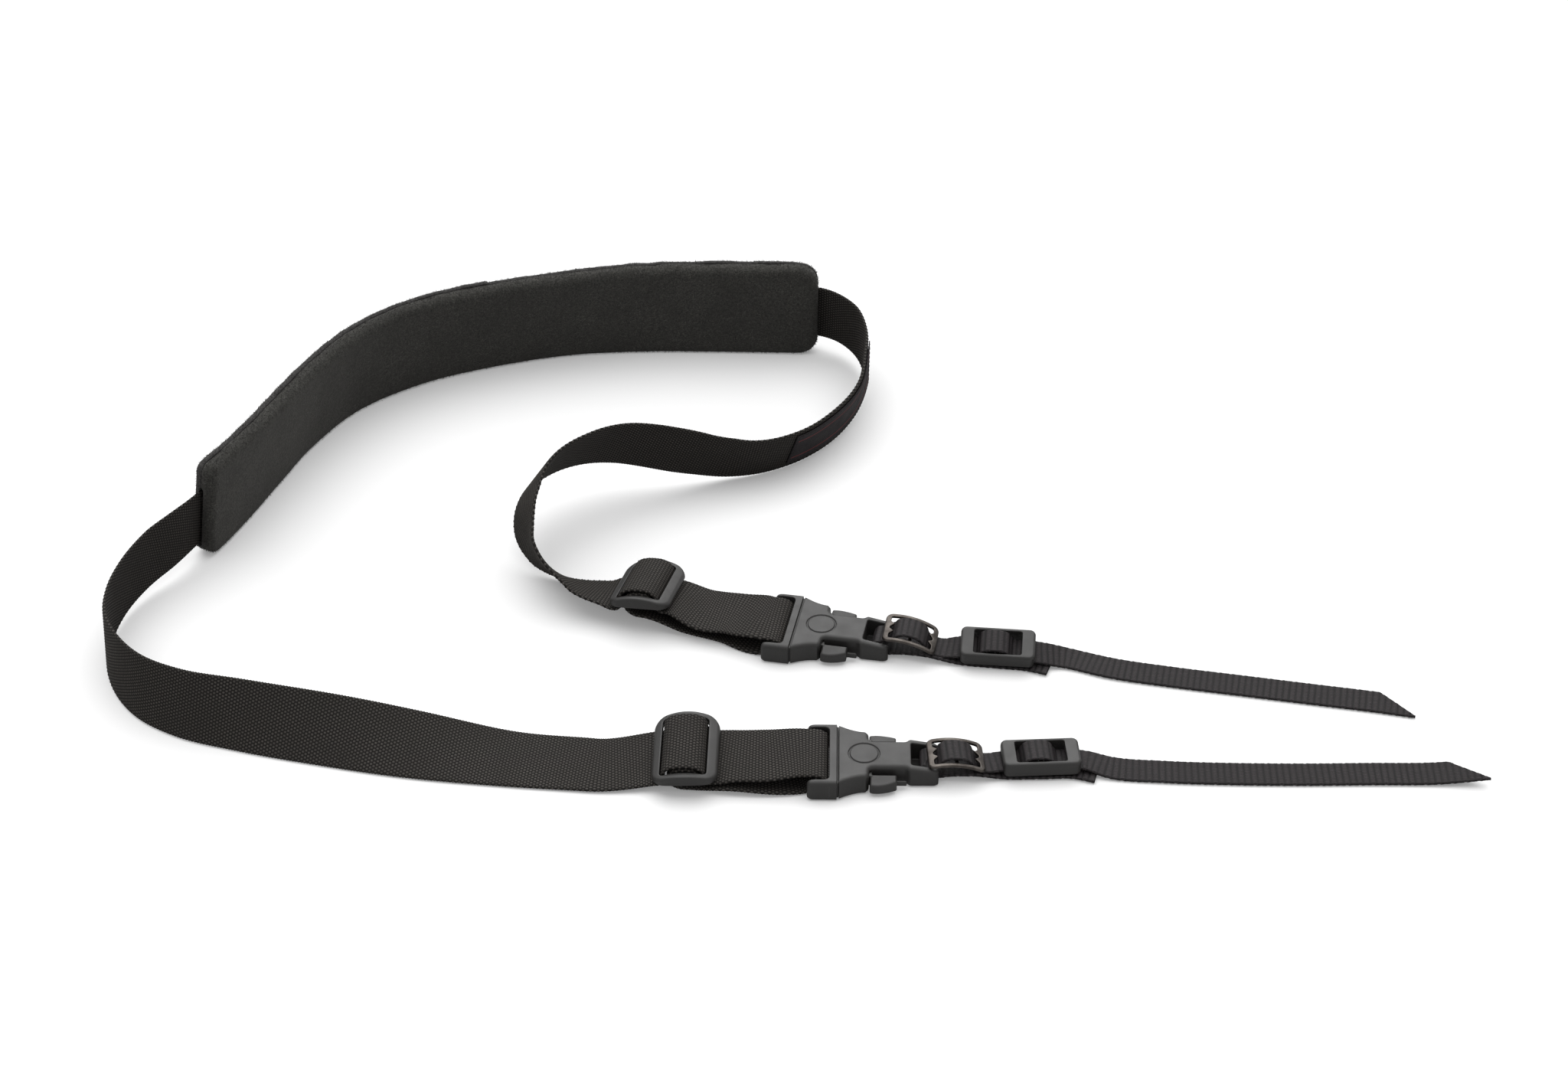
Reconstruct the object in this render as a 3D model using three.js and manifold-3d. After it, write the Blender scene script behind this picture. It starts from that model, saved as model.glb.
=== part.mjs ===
// A padded neck strap lying on a table: a curved pad, two runs of wide webbing and two quick-release ends.
// Millimetres, +Z up. X runs along the table from left to right, Y goes away from the viewer.
import * as THREE from 'three';
import { mergeVertices } from 'three/addons/utils/BufferGeometryUtils.js';
import Module from 'manifold-3d';

const wasm = await Module();
wasm.setup();

const CLEARANCE = 0.3;
const PAST = 1;
const WELD = 1e-4;

const WEBBING = { width: 25.4, thick: 1.5, selvedge: 0.5, freeStep: 4.6, step: 4.2 };
const NARROW = { width: 10, thick: 1.3, selvedge: 0.4, step: 4, tipLength: 13, tipWidth: 0.9, tailLean: 82 };
const LABEL = { width: 20, thick: 0.6, selvedge: 0.2, from: 50, to: 118.5, drop: 1, play: 0.5 };
const PAD = { height: 43.2, front: 5, back: 2.5, seam: 0.6, edge: 1.8, corner: 8, startCorner: 3.5, step: 8, webbingLow: 6.2,
  tuck: 9, pocketLength: 24, pocketPlay: 1.2 };
const SLIDER = { length: 22.6, width: 31.6, crown: 5, rim: 1.8, corner: 4.2, leftBar: 3, rightBar: 3.7,
  rail: 2.7, windowCorner: 1.4, barRadius: 1.2, barHigh: 2.3, edge: 0.5, bow: 1.3, windowBow: 0.1,
  hollow: 0.7 };
const BUCKLE = { width: 32, high: 8.2, edge: 1.1, gap: 0.35 };
const PLUG = { length: 11, arm: 2.15, crossbar: 2.6, corner: 2, mouthCorner: 1, endDeep: 4, barRadius: 1.5,
  barAlong: -6.25, barHigh: 4.8, armHigh: 8.2, toeLong: 2, toeHigh: 0.9, noseLong: 4, noseDrop: 2.4,
  collarInset: 0.9, collarDeep: 0.66 };
const PRONG = { inside: 7.55, outside: 9.65, root: -1.25, stemTo: 11.6, low: 2.2, high: 6.2,
  buttonFrom: 10.8, buttonIn: 8.6, buttonTo: 20, buttonLow: 1.2, buttonHigh: 5.3,
  noseOut: 13.2, swellAt: 14, swellOut: 14.6, heelOut: 11.8,
  spurFrom: 19.4, spurTo: 23.4, spurIn: 8.6, spurOut: 9.5, spurLow: 1.6, spurHigh: 3.6, edge: 0.5 };
const SOCKET = { length: 34.8, swellAt: 4.5, swellHalf: 12.1, pocketTo: 12.8, pocketLow: 1.8, pocketHigh: 6.6,
  pocketIn: 7.2, pocketOut: 10, slotFrom: 24.9, slotHalf: 5.8, endHigh: 6.6, barAlong: 30.6, barHigh: 4.2,
  barRadius: 1.3, floorTo: 28.5, floorHigh: 0.9, ringRadius: 5.4, ringWide: 0.55, ringDeep: 0.35,
  ringAlong: 8.9, ringSides: 20 };
const TOOTH_SLIDE = { length: 19.6, width: 14.4, sheet: 1.2, rise: 2, bar: 1.9, rail: 1.5, corner: 2.2,
  teeth: 2, toothDeep: 1.5, toothWide: 2.9, barRadius: 0.7, barHigh: 1.6, postHigh: 2.7, postIn: 0.3,
  postOut: 0.5 };
const KEEPER = { length: 26.7, width: 13.6, high: 5.8, corner: 2.2, edge: 0.9, windowLength: 17.2,
  windowWidth: 10.6, windowCorner: 0.8, roof: 2.5, barRadius: 1, barHigh: 2.5 };

const BAR_SIDES = 10;
const WRAP_STEPS = 6;
// Where a rounded edge's middle point lies, as a share of the edge's size.
const ROUNDED = 0.3;
// Where the sections of the pad's rounded end corners stand, as shares of the corner's size.
const cornerShares = [0, 0.08, 0.3, 0.65, 1];

// The pad's line between its two layers, foot on the table; lean is degrees away from the wearer.
const padRows = [
  { x: -219.6, y: -10.6, lean: -9 },
  { x: -207.7, y: 17.7, lean: -11 },
  { x: -199.3, y: 41.3, lean: -12 },
  { x: -190.1, y: 65.2, lean: -13 },
  { x: -174.5, y: 91.0, lean: -13 },
  { x: -150.7, y: 111.2, lean: -12 },
  { x: -119.4, y: 125.6, lean: -13 },
  { x: -87.9, y: 134.4, lean: -13 },
  { x: -55.1, y: 137.0, lean: -9 },
  { x: -21.0, y: 136.6, lean: -7 },
  { x: 13.8, y: 135.8, lean: -7 },
];

// Each strand: the foot of the wide webbing from the pad to its slider, the pieces threaded on it,
// and the middle of the narrow webbing's free tail. lean is degrees towards the left of travel.
const strands = [
  {
    name: 'front',
    padEnd: 'start',
    side: 1,
    run: [
      { x: -226.4, y: -23.2, z: 5.2, lean: 5 },
      { x: -233.4, y: -32.4, z: 3.6, lean: 5 },
      { x: -239.8, y: -45.4, z: 1.9, lean: 5 },
      { x: -242.8, y: -62.0, z: 0.8, lean: 4 },
      { x: -241.6, y: -77.0, z: 0.3, lean: 4 },
      { x: -236.0, y: -92.5, z: 0.3, lean: 8 },
      { x: -226.0, y: -106.0, z: 0.3, lean: 13 },
      { x: -211.2, y: -116.1, z: 0.3, lean: 20 },
      { x: -189.0, y: -123.9, z: 0.3, lean: 32 },
      { x: -161.4, y: -131.3, z: 0.4, lean: 45 },
      { x: -129.1, y: -138.5, z: 0.6, lean: 63 },
      { x: -97.5, y: -142.8, z: 0.8, lean: 81.5 },
      { x: -66.0, y: -146.0, z: 1.1, lean: 85 },
    ],
    pieces: {
      slider: { x: -33.4, y: -133.6, z: 7.3, yaw: -2, pitch: 3, roll: 7 },
      buckle: { x: 18.4, y: -134.2, z: 0.1, yaw: -1, pitch: 0, roll: 0 },
      toothSlide: { x: 58.4, y: -135.1, z: 6.5, yaw: 3.5, pitch: -8, roll: 2 },
      keeper: { x: 87.7, y: -132.9, z: 2.4, yaw: 3, pitch: 0, roll: 2 },
    },
    guides: {
      upper: { x: -8.0, y: -134.5, z: 6.8, yaw: -1.5, pitch: 0, roll: 4 },
      lower: { x: -0.6, y: -135.3, z: 0, yaw: -1, pitch: 0, roll: 0 },
    },
    underEnd: { x: 107.0, y: -136.6, z: 0.9 },
    tail: [
      { x: 112.0, y: -134.6, z: 1.9 },
      { x: 130.0, y: -136.4, z: 1.6 },
      { x: 153.4, y: -137.4, z: 1.5 },
      { x: 176.8, y: -137.7, z: 1.5 },
      { x: 200.4, y: -137.5, z: 1.6 },
      { x: 223.9, y: -137.7, z: 2.1 },
      { x: 240.2, y: -138.0, z: 4.3 },
    ],
  },
  {
    name: 'rear',
    padEnd: 'end',
    side: -1,
    run: [
      { x: 21.5, y: 132.5, z: 5.6, lean: -6 },
      { x: 29.0, y: 124.0, z: 4.3, lean: -3 },
      { x: 33.0, y: 108.0, z: 2.4, lean: 0 },
      { x: 31.0, y: 93.0, z: 1.2, lean: 4 },
      { x: 25.0, y: 77.5, z: 0.5, lean: 14 },
      { x: 13.9, y: 61.0, z: 0.3, lean: 21 },
      { x: 1.0, y: 50.0, z: 0.3, lean: 26 },
      { x: -12.5, y: 43.6, z: 0.5, lean: 26 },
      { x: -24.1, y: 40.6, z: 1.6, lean: 22 },
      { x: -34.3, y: 38.2, z: 4.2, lean: 20 },
      { x: -44.5, y: 35.8, z: 7.3, lean: 16 },
      { x: -54.7, y: 34.1, z: 10.7, lean: 16 },
      { x: -64.8, y: 32.0, z: 13.9, lean: 20 },
      { x: -74.5, y: 28.2, z: 16.4, lean: 26 },
      { x: -83.4, y: 22.5, z: 18.0, lean: 31 },
      { x: -91.3, y: 15.2, z: 18.4, lean: 33 },
      { x: -97.6, y: 6.6, z: 17.5, lean: 33 },
      { x: -100.7, y: -3.0, z: 14.4, lean: 26 },
      { x: -99.7, y: -12.3, z: 9.5, lean: 7 },
      { x: -93.9, y: -19.5, z: 4.2, lean: -19 },
      { x: -84.1, y: -24.3, z: 1.4, lean: -42 },
      { x: -72.8, y: -26.8, z: 1.1, lean: -61 },
      { x: -62.5, y: -28.8, z: 2.6, lean: -72 },
    ],
    pieces: {
      slider: { x: -49.7, y: -43.6, z: 9.4, yaw: -12.5, pitch: 4, roll: -8 },
      buckle: { x: 4.7, y: -60.4, z: 0.1, yaw: -10.8, pitch: 0, roll: 0 },
      toothSlide: { x: 45.2, y: -68.1, z: 7.2, yaw: -9, pitch: -14, roll: 4 },
      keeper: { x: 76.5, y: -72.4, z: 3.5, yaw: -5.5, pitch: 0, roll: 14 },
    },
    guides: {
      upper: { x: -19.5, y: -53.2, z: 5.9, yaw: -14.5, pitch: 0, roll: -2 },
      lower: { x: -19.0, y: -52.0, z: 0, yaw: -18, pitch: 0, roll: 0 },
    },
    underEnd: { x: 95.0, y: -78.0, z: 1.0 },
    tail: [
      { x: 100.0, y: -73.8, z: 2.1 },
      { x: 117.0, y: -79.6, z: 1.7 },
      { x: 138.0, y: -84.4, z: 1.5 },
      { x: 161.9, y: -89.2, z: 1.5 },
      { x: 188.3, y: -94.5, z: 1.5 },
      { x: 207.0, y: -98.2, z: 1.5 },
      { x: 222.0, y: -101.6, z: 1.5 },
    ],
  },
];

// How the wide webbing threads its slider and plug, in each piece's own frame: along, aside to the left, high.
const wideThreading = [
  { at: 'slider', along: -10.6, high: -2.0 },
  { at: 'slider', along: -7.9, high: -1.5 },
  { at: 'slider', along: -7.35, high: 1 },
  { at: 'slider', along: -7.1, high: 3.3 },
  { at: 'slider', along: -5.9, high: 5.2 },
  { at: 'slider', along: -3.2, high: 6.25 },
  { at: 'slider', along: 0, high: 6.5 },
  { at: 'slider', along: 3.2, high: 6.15 },
  { at: 'slider', along: 5.4, high: 4.9 },
  { at: 'slider', along: 6.4, high: 3.2 },
  { at: 'slider', along: 6.6, high: 1 },
  { at: 'slider', along: 7.1, high: -1.3 },
  { at: 'slider', along: 10.5, high: -1.9 },
  { at: 'upper', along: -8.5, high: 0.1 },
  { at: 'upper', along: 2, high: 0.6 },
  { at: 'buckle', along: -11.5, high: 8.05 },
  { at: 'buckle', around: 'plugBar', from: 62, to: -90 },
  { at: 'buckle', along: -11, aside: -0.1, high: 1.1 },
  { at: 'lower', along: 0, high: 1.4 },
  { at: 'lower', along: -16, high: 2.6 },
  { at: 'slider', along: 2.5, high: -4.4 },
  { at: 'slider', along: -2.5, high: -3.5 },
  { at: 'slider', along: -4.8, high: -1.6 },
  { at: 'slider', along: -5.4, high: 0.6 },
  { at: 'slider', along: -4.9, high: 2.6 },
  { at: 'slider', along: -3.2, high: 4.2 },
  { at: 'slider', along: 0, high: 4.7 },
  { at: 'slider', along: 2.8, high: 4.3 },
  { at: 'slider', along: 4.2, high: 3.1 },
  { at: 'slider', along: 4.6, high: 1.4 },
];

// The narrow webbing: from its short end under the keeper, round the socket's bar and back to the tail.
const narrowThreading = [
  { at: 'keeper', along: 12, aside: -2.4, high: -0.95 },
  { at: 'keeper', along: 0, aside: -1.8, high: -0.95 },
  { at: 'keeper', along: -13, aside: -1.2, high: -0.95 },
  { at: 'buckle', along: 47, aside: -0.4, high: 3 },
  { at: 'buckle', along: 40, high: 2.6 },
  { at: 'buckle', around: 'socketBar', from: 270, to: 90 },
  { at: 'toothSlide', along: -7.8, high: -0.9 },
  { at: 'toothSlide', along: -6.1, high: 0.1 },
  { at: 'toothSlide', along: -5, high: 2 },
  { at: 'toothSlide', along: -3.4, high: 3.2 },
  { at: 'toothSlide', along: 0, high: 3.8 },
  { at: 'toothSlide', along: 3.4, high: 3.2 },
  { at: 'toothSlide', along: 5, high: 2 },
  { at: 'toothSlide', along: 6.1, high: 0.1 },
  { at: 'toothSlide', along: 7.8, high: -0.9 },
  { at: 'toothSlide', along: 10.8, high: -1.2 },
  { at: 'keeper', along: -13, high: 1.5 },
  { at: 'keeper', along: -9.4, high: 1.6 },
  { at: 'keeper', along: -7.4, high: 1.9 },
  { at: 'keeper', along: -6.4, high: 3.1 },
  { at: 'keeper', along: -5.5, high: 4.9 },
  { at: 'keeper', along: -4, high: 5.9 },
  { at: 'keeper', along: -1, high: 6.25 },
  { at: 'keeper', along: 1.8, high: 5.9 },
  { at: 'keeper', along: 3.4, high: 4.9 },
  { at: 'keeper', along: 4.4, high: 3.1 },
  { at: 'keeper', along: 5.4, high: 1.9 },
  { at: 'keeper', along: 8, high: 1.5 },
  { at: 'keeper', along: 14.5, high: 0.9 },
];

const bars = {
  plugBar: { along: PLUG.barAlong, high: PLUG.barHigh, radius: PLUG.barRadius, cloth: WEBBING.thick },
  socketBar: { along: SOCKET.barAlong, high: SOCKET.barHigh, radius: SOCKET.barRadius, cloth: NARROW.thick },
};

// One side of the socket's plan behind its curved shoulder; half is measured from the middle line.
const socketSide = [
  { along: 9.5, half: 12.1 },
  { along: 10.5, half: 10.9 },
  { along: 10.7, half: 7 },
  { along: 23.2, half: 7 },
  { along: 24.4, half: 8.3 },
  { along: 33.2, half: 8.2 },
  { along: 34.8, half: 6.9 },
];

const finishes = {
  suede: { color: 0x2b2a29, roughness: 0.95, metalness: 0 },
  backing: { color: 0x2f2e2d, roughness: 0.95, metalness: 0 },
  webbing: { color: 0x2c2a27, roughness: 0.85, metalness: 0 },
  narrow: { color: 0x2a2627, roughness: 0.8, metalness: 0 },
  label: { color: 0x161415, roughness: 0.7, metalness: 0 },
  plastic: { color: 0x4a4846, roughness: 0.55, metalness: 0 },
  metal: { color: 0x5a524c, roughness: 0.4, metalness: 0.85 },
};

const UP = new THREE.Vector3(0, 0, 1);

function toSolid(geometry) {
  const bare = geometry.index ? geometry.toNonIndexed() : geometry.clone();
  bare.deleteAttribute('normal');
  bare.deleteAttribute('uv');
  const merged = mergeVertices(bare, WELD);
  const vertProperties = merged.attributes.position.array;
  const triVerts = new Uint32Array(merged.index.array);
  return new wasm.Manifold(new wasm.Mesh({ numProp: 3, vertProperties, triVerts }));
}

function toGeometry(solid) {
  const mesh = solid.getMesh();
  const geometry = new THREE.BufferGeometry();
  geometry.setAttribute('position', new THREE.BufferAttribute(mesh.vertProperties, 3));
  geometry.setIndex(new THREE.BufferAttribute(mesh.triVerts, 1));
  geometry.computeVertexNormals();
  return geometry;
}

function named(name, geometry, finish) {
  const mesh = new THREE.Mesh(geometry, new THREE.MeshStandardMaterial(finishes[finish]));
  mesh.name = name;
  return mesh;
}

function gapBetween(p, q) {
  return Math.hypot(q.x - p.x, q.y - p.y, (q.z ?? 0) - (p.z ?? 0));
}

// A smooth line through rows, sampled about every step millimetres; all columns are interpolated alike.
// Its slope at a row leans towards the nearer neighbour, so that uneven rows make no waves.
function sampleRows(rows, columns, step) {
  const samples = [];
  for (let i = 0; i + 1 < rows.length; i += 1) {
    const p1 = rows[i];
    const p2 = rows[i + 1];
    const p0 = rows[i - 1];
    const p3 = rows[i + 2];
    const gap = gapBetween(p1, p2);
    const before = p0 ? gapBetween(p0, p1) : gap;
    const after = p3 ? gapBetween(p2, p3) : gap;
    const count = Math.max(1, Math.round(gap / step));
    for (let k = 0; k < count; k += 1) {
      const t = k / count;
      const sample = {};
      for (const column of columns) {
        const b = p1[column];
        const c = p2[column];
        const a = p0 ? p0[column] : 2 * b - c;
        const d = p3 ? p3[column] : 2 * c - b;
        const leave = ((b - a) * gap * gap / before + (c - b) * before) / (before + gap);
        const arrive = ((c - b) * after + (d - c) * gap * gap / after) / (gap + after);
        const rise = c - b;
        sample[column] = b + t * (leave + t * (3 * rise - 2 * leave - arrive + t * (leave + arrive - 2 * rise)));
      }
      samples.push(sample);
    }
  }
  samples.push(rows[rows.length - 1]);
  return samples;
}

function directionAt(samples, i) {
  const before = samples[Math.max(0, i - 1)];
  const after = samples[Math.min(samples.length - 1, i + 1)];
  return new THREE.Vector3(after.x - before.x, after.y - before.y, (after.z ?? 0) - (before.z ?? 0)).normalize();
}

// The level direction to the left of travel.
function leftOf(travel) {
  return new THREE.Vector3(-travel.y, travel.x, 0).normalize();
}

// The direction from the foot of standing cloth to its upper edge, square to its travel.
function leaning(travel, degrees) {
  const angle = THREE.MathUtils.degToRad(degrees);
  const up = UP.clone().multiplyScalar(Math.cos(angle)).addScaledVector(leftOf(travel), Math.sin(angle));
  return up.addScaledVector(travel, -up.dot(travel)).normalize();
}

// A strip swept through stations { centre, across, to }, with a six-sided section; to trims its width.
function stripGeometry(stations, cloth, offset = 0) {
  const centres = stations.map((station) => station.centre);
  const rings = stations.map((station, i) => {
    const travel = directionAt(centres, i);
    const across = station.across.clone().addScaledVector(travel, -station.across.dot(travel)).normalize();
    const face = travel.clone().cross(across);
    const from = -cloth.width / 2;
    const to = station.to ?? cloth.width / 2;
    const edge = Math.min(cloth.selvedge, (to - from) / 3);
    const half = cloth.thick / 2;
    const section = [
      [from, 0], [from + edge, -half], [to - edge, -half], [to, 0], [to - edge, half], [from + edge, half],
    ];
    return section.map(([along, high]) => station.centre.clone()
      .addScaledVector(across, along)
      .addScaledVector(face, high + offset));
  });
  return skin(rings);
}

// A closed surface over rings of points, each ring counter-clockwise seen against the direction of travel.
function skin(rings) {
  const size = rings[0].length;
  const position = rings.flat().flatMap((p) => [p.x, p.y, p.z]);
  const index = [];
  for (let i = 0; i + 1 < rings.length; i += 1) {
    for (let k = 0; k < size; k += 1) {
      const a = i * size + k;
      const b = i * size + (k + 1) % size;
      index.push(a, b, b + size, a, b + size, a + size);
    }
  }
  const last = (rings.length - 1) * size;
  for (let k = 1; k + 1 < size; k += 1) {
    index.push(0, k + 1, k);
    index.push(last, last + k, last + k + 1);
  }
  const geometry = new THREE.BufferGeometry();
  geometry.setAttribute('position', new THREE.Float32BufferAttribute(position, 3));
  geometry.setIndex(index);
  geometry.computeVertexNormals();
  return geometry;
}

function rectangle(x0, y0, x1, y1, radius = 0) {
  const shape = new THREE.Shape();
  if (radius === 0) {
    shape.moveTo(x0, y0).lineTo(x1, y0).lineTo(x1, y1).lineTo(x0, y1).closePath();
    return shape;
  }
  const quarter = Math.PI / 2;
  shape.moveTo(x0 + radius, y0);
  shape.absarc(x1 - radius, y0 + radius, radius, -quarter, 0);
  shape.absarc(x1 - radius, y1 - radius, radius, 0, quarter);
  shape.absarc(x0 + radius, y1 - radius, radius, quarter, 2 * quarter);
  shape.absarc(x0 + radius, y0 + radius, radius, 2 * quarter, 3 * quarter);
  return shape;
}

function polygon(points) {
  const shape = new THREE.Shape();
  points.forEach(([x, y], i) => (i === 0 ? shape.moveTo(x, y) : shape.lineTo(x, y)));
  shape.closePath();
  return shape;
}

// A plan shape raised from low to high, with its upper and lower edges bevelled inwards.
function raised(shape, low, high, edge = 0) {
  const geometry = new THREE.ExtrudeGeometry(shape, {
    depth: high - low - 2 * edge,
    bevelEnabled: edge > 0,
    bevelThickness: edge,
    bevelSize: edge,
    bevelOffset: -edge,
    bevelSegments: 2,
    curveSegments: 3,
  });
  return toSolid(geometry.translate(0, 0, low + edge));
}

// A side view (along, high) drawn out across the strap, width wide.
function drawnAcross(shape, width) {
  const geometry = new THREE.ExtrudeGeometry(shape, { depth: width, bevelEnabled: false, curveSegments: 8 });
  geometry.rotateX(Math.PI / 2);
  return toSolid(geometry.translate(0, width / 2, 0));
}

function crossBar(along, high, radius, width) {
  const geometry = new THREE.CylinderGeometry(radius, radius, width, BAR_SIDES);
  return toSolid(geometry.translate(along, 0, high));
}

function makeSlider() {
  const s = SLIDER;
  const halfLong = s.length / 2;
  const halfWide = s.width / 2;
  const outline = bowedOutline(-halfLong, halfLong, halfWide, s.bow, s.corner);
  const opening = bowedOutline(
    -halfLong + s.leftBar, halfLong - s.rightBar, halfWide - s.rail, s.windowBow, s.windowCorner);
  const side = new THREE.Shape();
  side.moveTo(-halfLong, 0).quadraticCurveTo(0, 2 * s.hollow, halfLong, 0).lineTo(halfLong, s.rim);
  side.quadraticCurveTo(0, 2 * s.crown - s.rim, -halfLong, s.rim);
  const body = raised(outline, 0, s.crown + PAST, s.edge).intersect(drawnAcross(side, s.width));
  const frame = body.subtract(raised(opening, -PAST, s.crown + PAST));
  return toGeometry(frame.add(crossBar(0, s.barHigh, s.barRadius, s.width - s.rail)));
}

// The slider's plan from x0 to x1: its long edges bow outwards to half wide at the middle bar.
function bowedOutline(x0, x1, half, bow, corner) {
  const fall = bow / (SLIDER.length / 2) ** 2;
  const wide = (x) => half - fall * x * x;
  const [a, b] = [x0 + corner, x1 - corner];
  const control = wide(a) - fall * a * (b - a);
  const shape = new THREE.Shape();
  shape.moveTo(x0, -wide(x0) + corner).quadraticCurveTo(x0, -wide(x0), a, -wide(a));
  shape.quadraticCurveTo((a + b) / 2, -control, b, -wide(b)).quadraticCurveTo(x1, -wide(x1), x1, -wide(x1) + corner);
  shape.lineTo(x1, wide(x1) - corner).quadraticCurveTo(x1, wide(x1), b, wide(b));
  shape.quadraticCurveTo((a + b) / 2, control, a, wide(a)).quadraticCurveTo(x0, wide(x0), x0, wide(x0) - corner);
  shape.closePath();
  return shape;
}

function makePlug() {
  const p = PLUG;
  const half = BUCKLE.width / 2;
  const end = -BUCKLE.gap;
  const outline = rectangle(-p.length, -half, end, half, p.corner);
  const mouth = rectangle(-p.length - PAST, -half + p.arm, end - p.crossbar, half - p.arm, p.mouthCorner);
  const side = new THREE.Shape();
  side.moveTo(-p.length, p.toeHigh).lineTo(-p.length + p.toeLong, 0).lineTo(0, 0).lineTo(0, p.armHigh);
  side.lineTo(-p.length + p.noseLong, p.armHigh);
  side.quadraticCurveTo(-p.length, p.armHigh, -p.length, p.armHigh - p.noseDrop);
  let body = raised(outline, 0, BUCKLE.high, BUCKLE.edge).add(squareEnd(end, p.endDeep));
  body = body.subtract(raised(mouth, -PAST, BUCKLE.high + PAST)).intersect(drawnAcross(side, BUCKLE.width));
  body = body.add(crossBar(p.barAlong, p.barHigh, p.barRadius, BUCKLE.width - p.arm));
  const inset = p.collarInset;
  const collar = rectangle(end - p.crossbar / 2, -half + inset, end + p.collarDeep, half - inset);
  body = body.add(raised(collar, inset, p.armHigh - inset));
  const prong = makeProng();
  return toGeometry(body.add(prong).add(prong.scale([1, -1, 1])));
}

// A block deep from the plug's flat end face, chamfered along the buckle's upper and lower edges.
function squareEnd(along, deep) {
  const { width, high, edge } = BUCKLE;
  const section = rectangle(-width / 2, 0, width / 2, high, edge);
  const geometry = new THREE.ExtrudeGeometry(section, { depth: deep, bevelEnabled: false, curveSegments: 2 });
  geometry.rotateX(Math.PI / 2).rotateZ(Math.PI / 2);
  return toSolid(geometry.translate(along - deep, 0, 0));
}

// One spring prong, which passes the socket's wall and swells into a thumb button in its side opening.
function makeProng() {
  const p = PRONG;
  const stem = rectangle(p.root, p.inside, p.stemTo, p.outside);
  const button = new THREE.Shape();
  button.moveTo(p.buttonFrom, p.buttonIn).lineTo(p.buttonTo, p.buttonIn).lineTo(p.buttonTo, p.heelOut);
  button.quadraticCurveTo(p.swellAt, p.swellOut, p.buttonFrom, p.noseOut);
  const spur = rectangle(p.spurFrom, p.spurIn, p.spurTo, p.spurOut);
  return raised(stem, p.low, p.high)
    .add(raised(button, p.buttonLow, p.buttonHigh, p.edge))
    .add(raised(spur, p.spurLow, p.spurHigh));
}

function makeSocket() {
  const s = SOCKET;
  const half = BUCKLE.width / 2;
  const plan = new THREE.Shape();
  const shoulder = socketSide[0];
  plan.moveTo(BUCKLE.gap, -half);
  plan.quadraticCurveTo(s.swellAt, -s.swellHalf, shoulder.along, -shoulder.half);
  socketSide.slice(1).forEach((row) => plan.lineTo(row.along, -row.half));
  socketSide.slice().reverse().forEach((row) => plan.lineTo(row.along, row.half));
  plan.quadraticCurveTo(s.swellAt, s.swellHalf, BUCKLE.gap, half);
  const side = polygon([
    [0, 0], [s.length, 0], [s.length, s.endHigh], [s.slotFrom, BUCKLE.high], [0, BUCKLE.high],
  ]);
  const pocket = raised(rectangle(-PAST, s.pocketIn, s.pocketTo, s.pocketOut), s.pocketLow, s.pocketHigh);
  const slot = rectangle(s.slotFrom, -s.slotHalf, s.length + PAST, s.slotHalf);
  const slotFloor = rectangle(s.slotFrom - PAST, -s.slotHalf - PAST, s.floorTo, s.slotHalf + PAST);
  const body = raised(plan, 0, BUCKLE.high, BUCKLE.edge)
    .intersect(drawnAcross(side, BUCKLE.width))
    .subtract(pocket)
    .subtract(pocket.scale([1, -1, 1]))
    .subtract(raised(slot, -PAST, BUCKLE.high + PAST))
    .add(raised(slotFloor, 0, s.floorHigh))
    .add(crossBar(s.barAlong, s.barHigh, s.barRadius, 2 * s.slotHalf + s.barRadius));
  return toGeometry(body.subtract(ringGroove()));
}

// The shallow ring sunk in the socket's upper face.
function ringGroove() {
  const { ringRadius, ringWide, ringDeep, ringAlong, ringSides } = SOCKET;
  const low = BUCKLE.high - ringDeep;
  const high = BUCKLE.high + PAST;
  const inner = ringRadius - ringWide;
  const profile = [[inner, low], [ringRadius, low], [ringRadius, high], [inner, high], [inner, low]];
  const points = profile.map(([radius, height]) => new THREE.Vector2(radius, height));
  const geometry = new THREE.LatheGeometry(points, ringSides).rotateX(Math.PI / 2);
  return toSolid(geometry.translate(ringAlong, 0, 0));
}

function makeToothSlide() {
  const t = TOOTH_SLIDE;
  const halfLong = t.length / 2;
  const halfWide = t.width / 2;
  const inLong = halfLong - t.bar;
  const inWide = halfWide - t.rail;
  const pitch = 2 * inWide / (t.teeth + 1);
  const edge = [[inLong, -inWide]];
  for (let i = 1; i <= t.teeth; i += 1) {
    const tip = -inWide + i * pitch;
    edge.push([inLong, tip - t.toothWide / 2], [inLong - t.toothDeep, tip], [inLong, tip + t.toothWide / 2]);
  }
  edge.push([inLong, inWide]);
  const opening = polygon([...edge, ...edge.map(([x, y]) => [-x, -y])]);
  const side = new THREE.Shape();
  side.moveTo(-halfLong, 0).quadraticCurveTo(0, 2 * t.rise, halfLong, 0).lineTo(halfLong, t.sheet);
  side.quadraticCurveTo(0, 2 * t.rise + t.sheet, -halfLong, t.sheet);
  const outline = rectangle(-halfLong, -halfWide, halfLong, halfWide, t.corner);
  const top = t.rise + t.sheet + PAST;
  const frame = raised(outline, -PAST, top).subtract(raised(opening, -2 * PAST, top + PAST));
  const postPlan = rectangle(-t.barRadius, inWide - t.postIn, t.barRadius, inWide + t.postOut);
  const post = raised(postPlan, t.barHigh, t.postHigh);
  return toGeometry(frame
    .intersect(drawnAcross(side, t.width))
    .add(crossBar(0, t.barHigh, t.barRadius, 2 * inWide))
    .add(post)
    .add(post.scale([1, -1, 1])));
}

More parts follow.
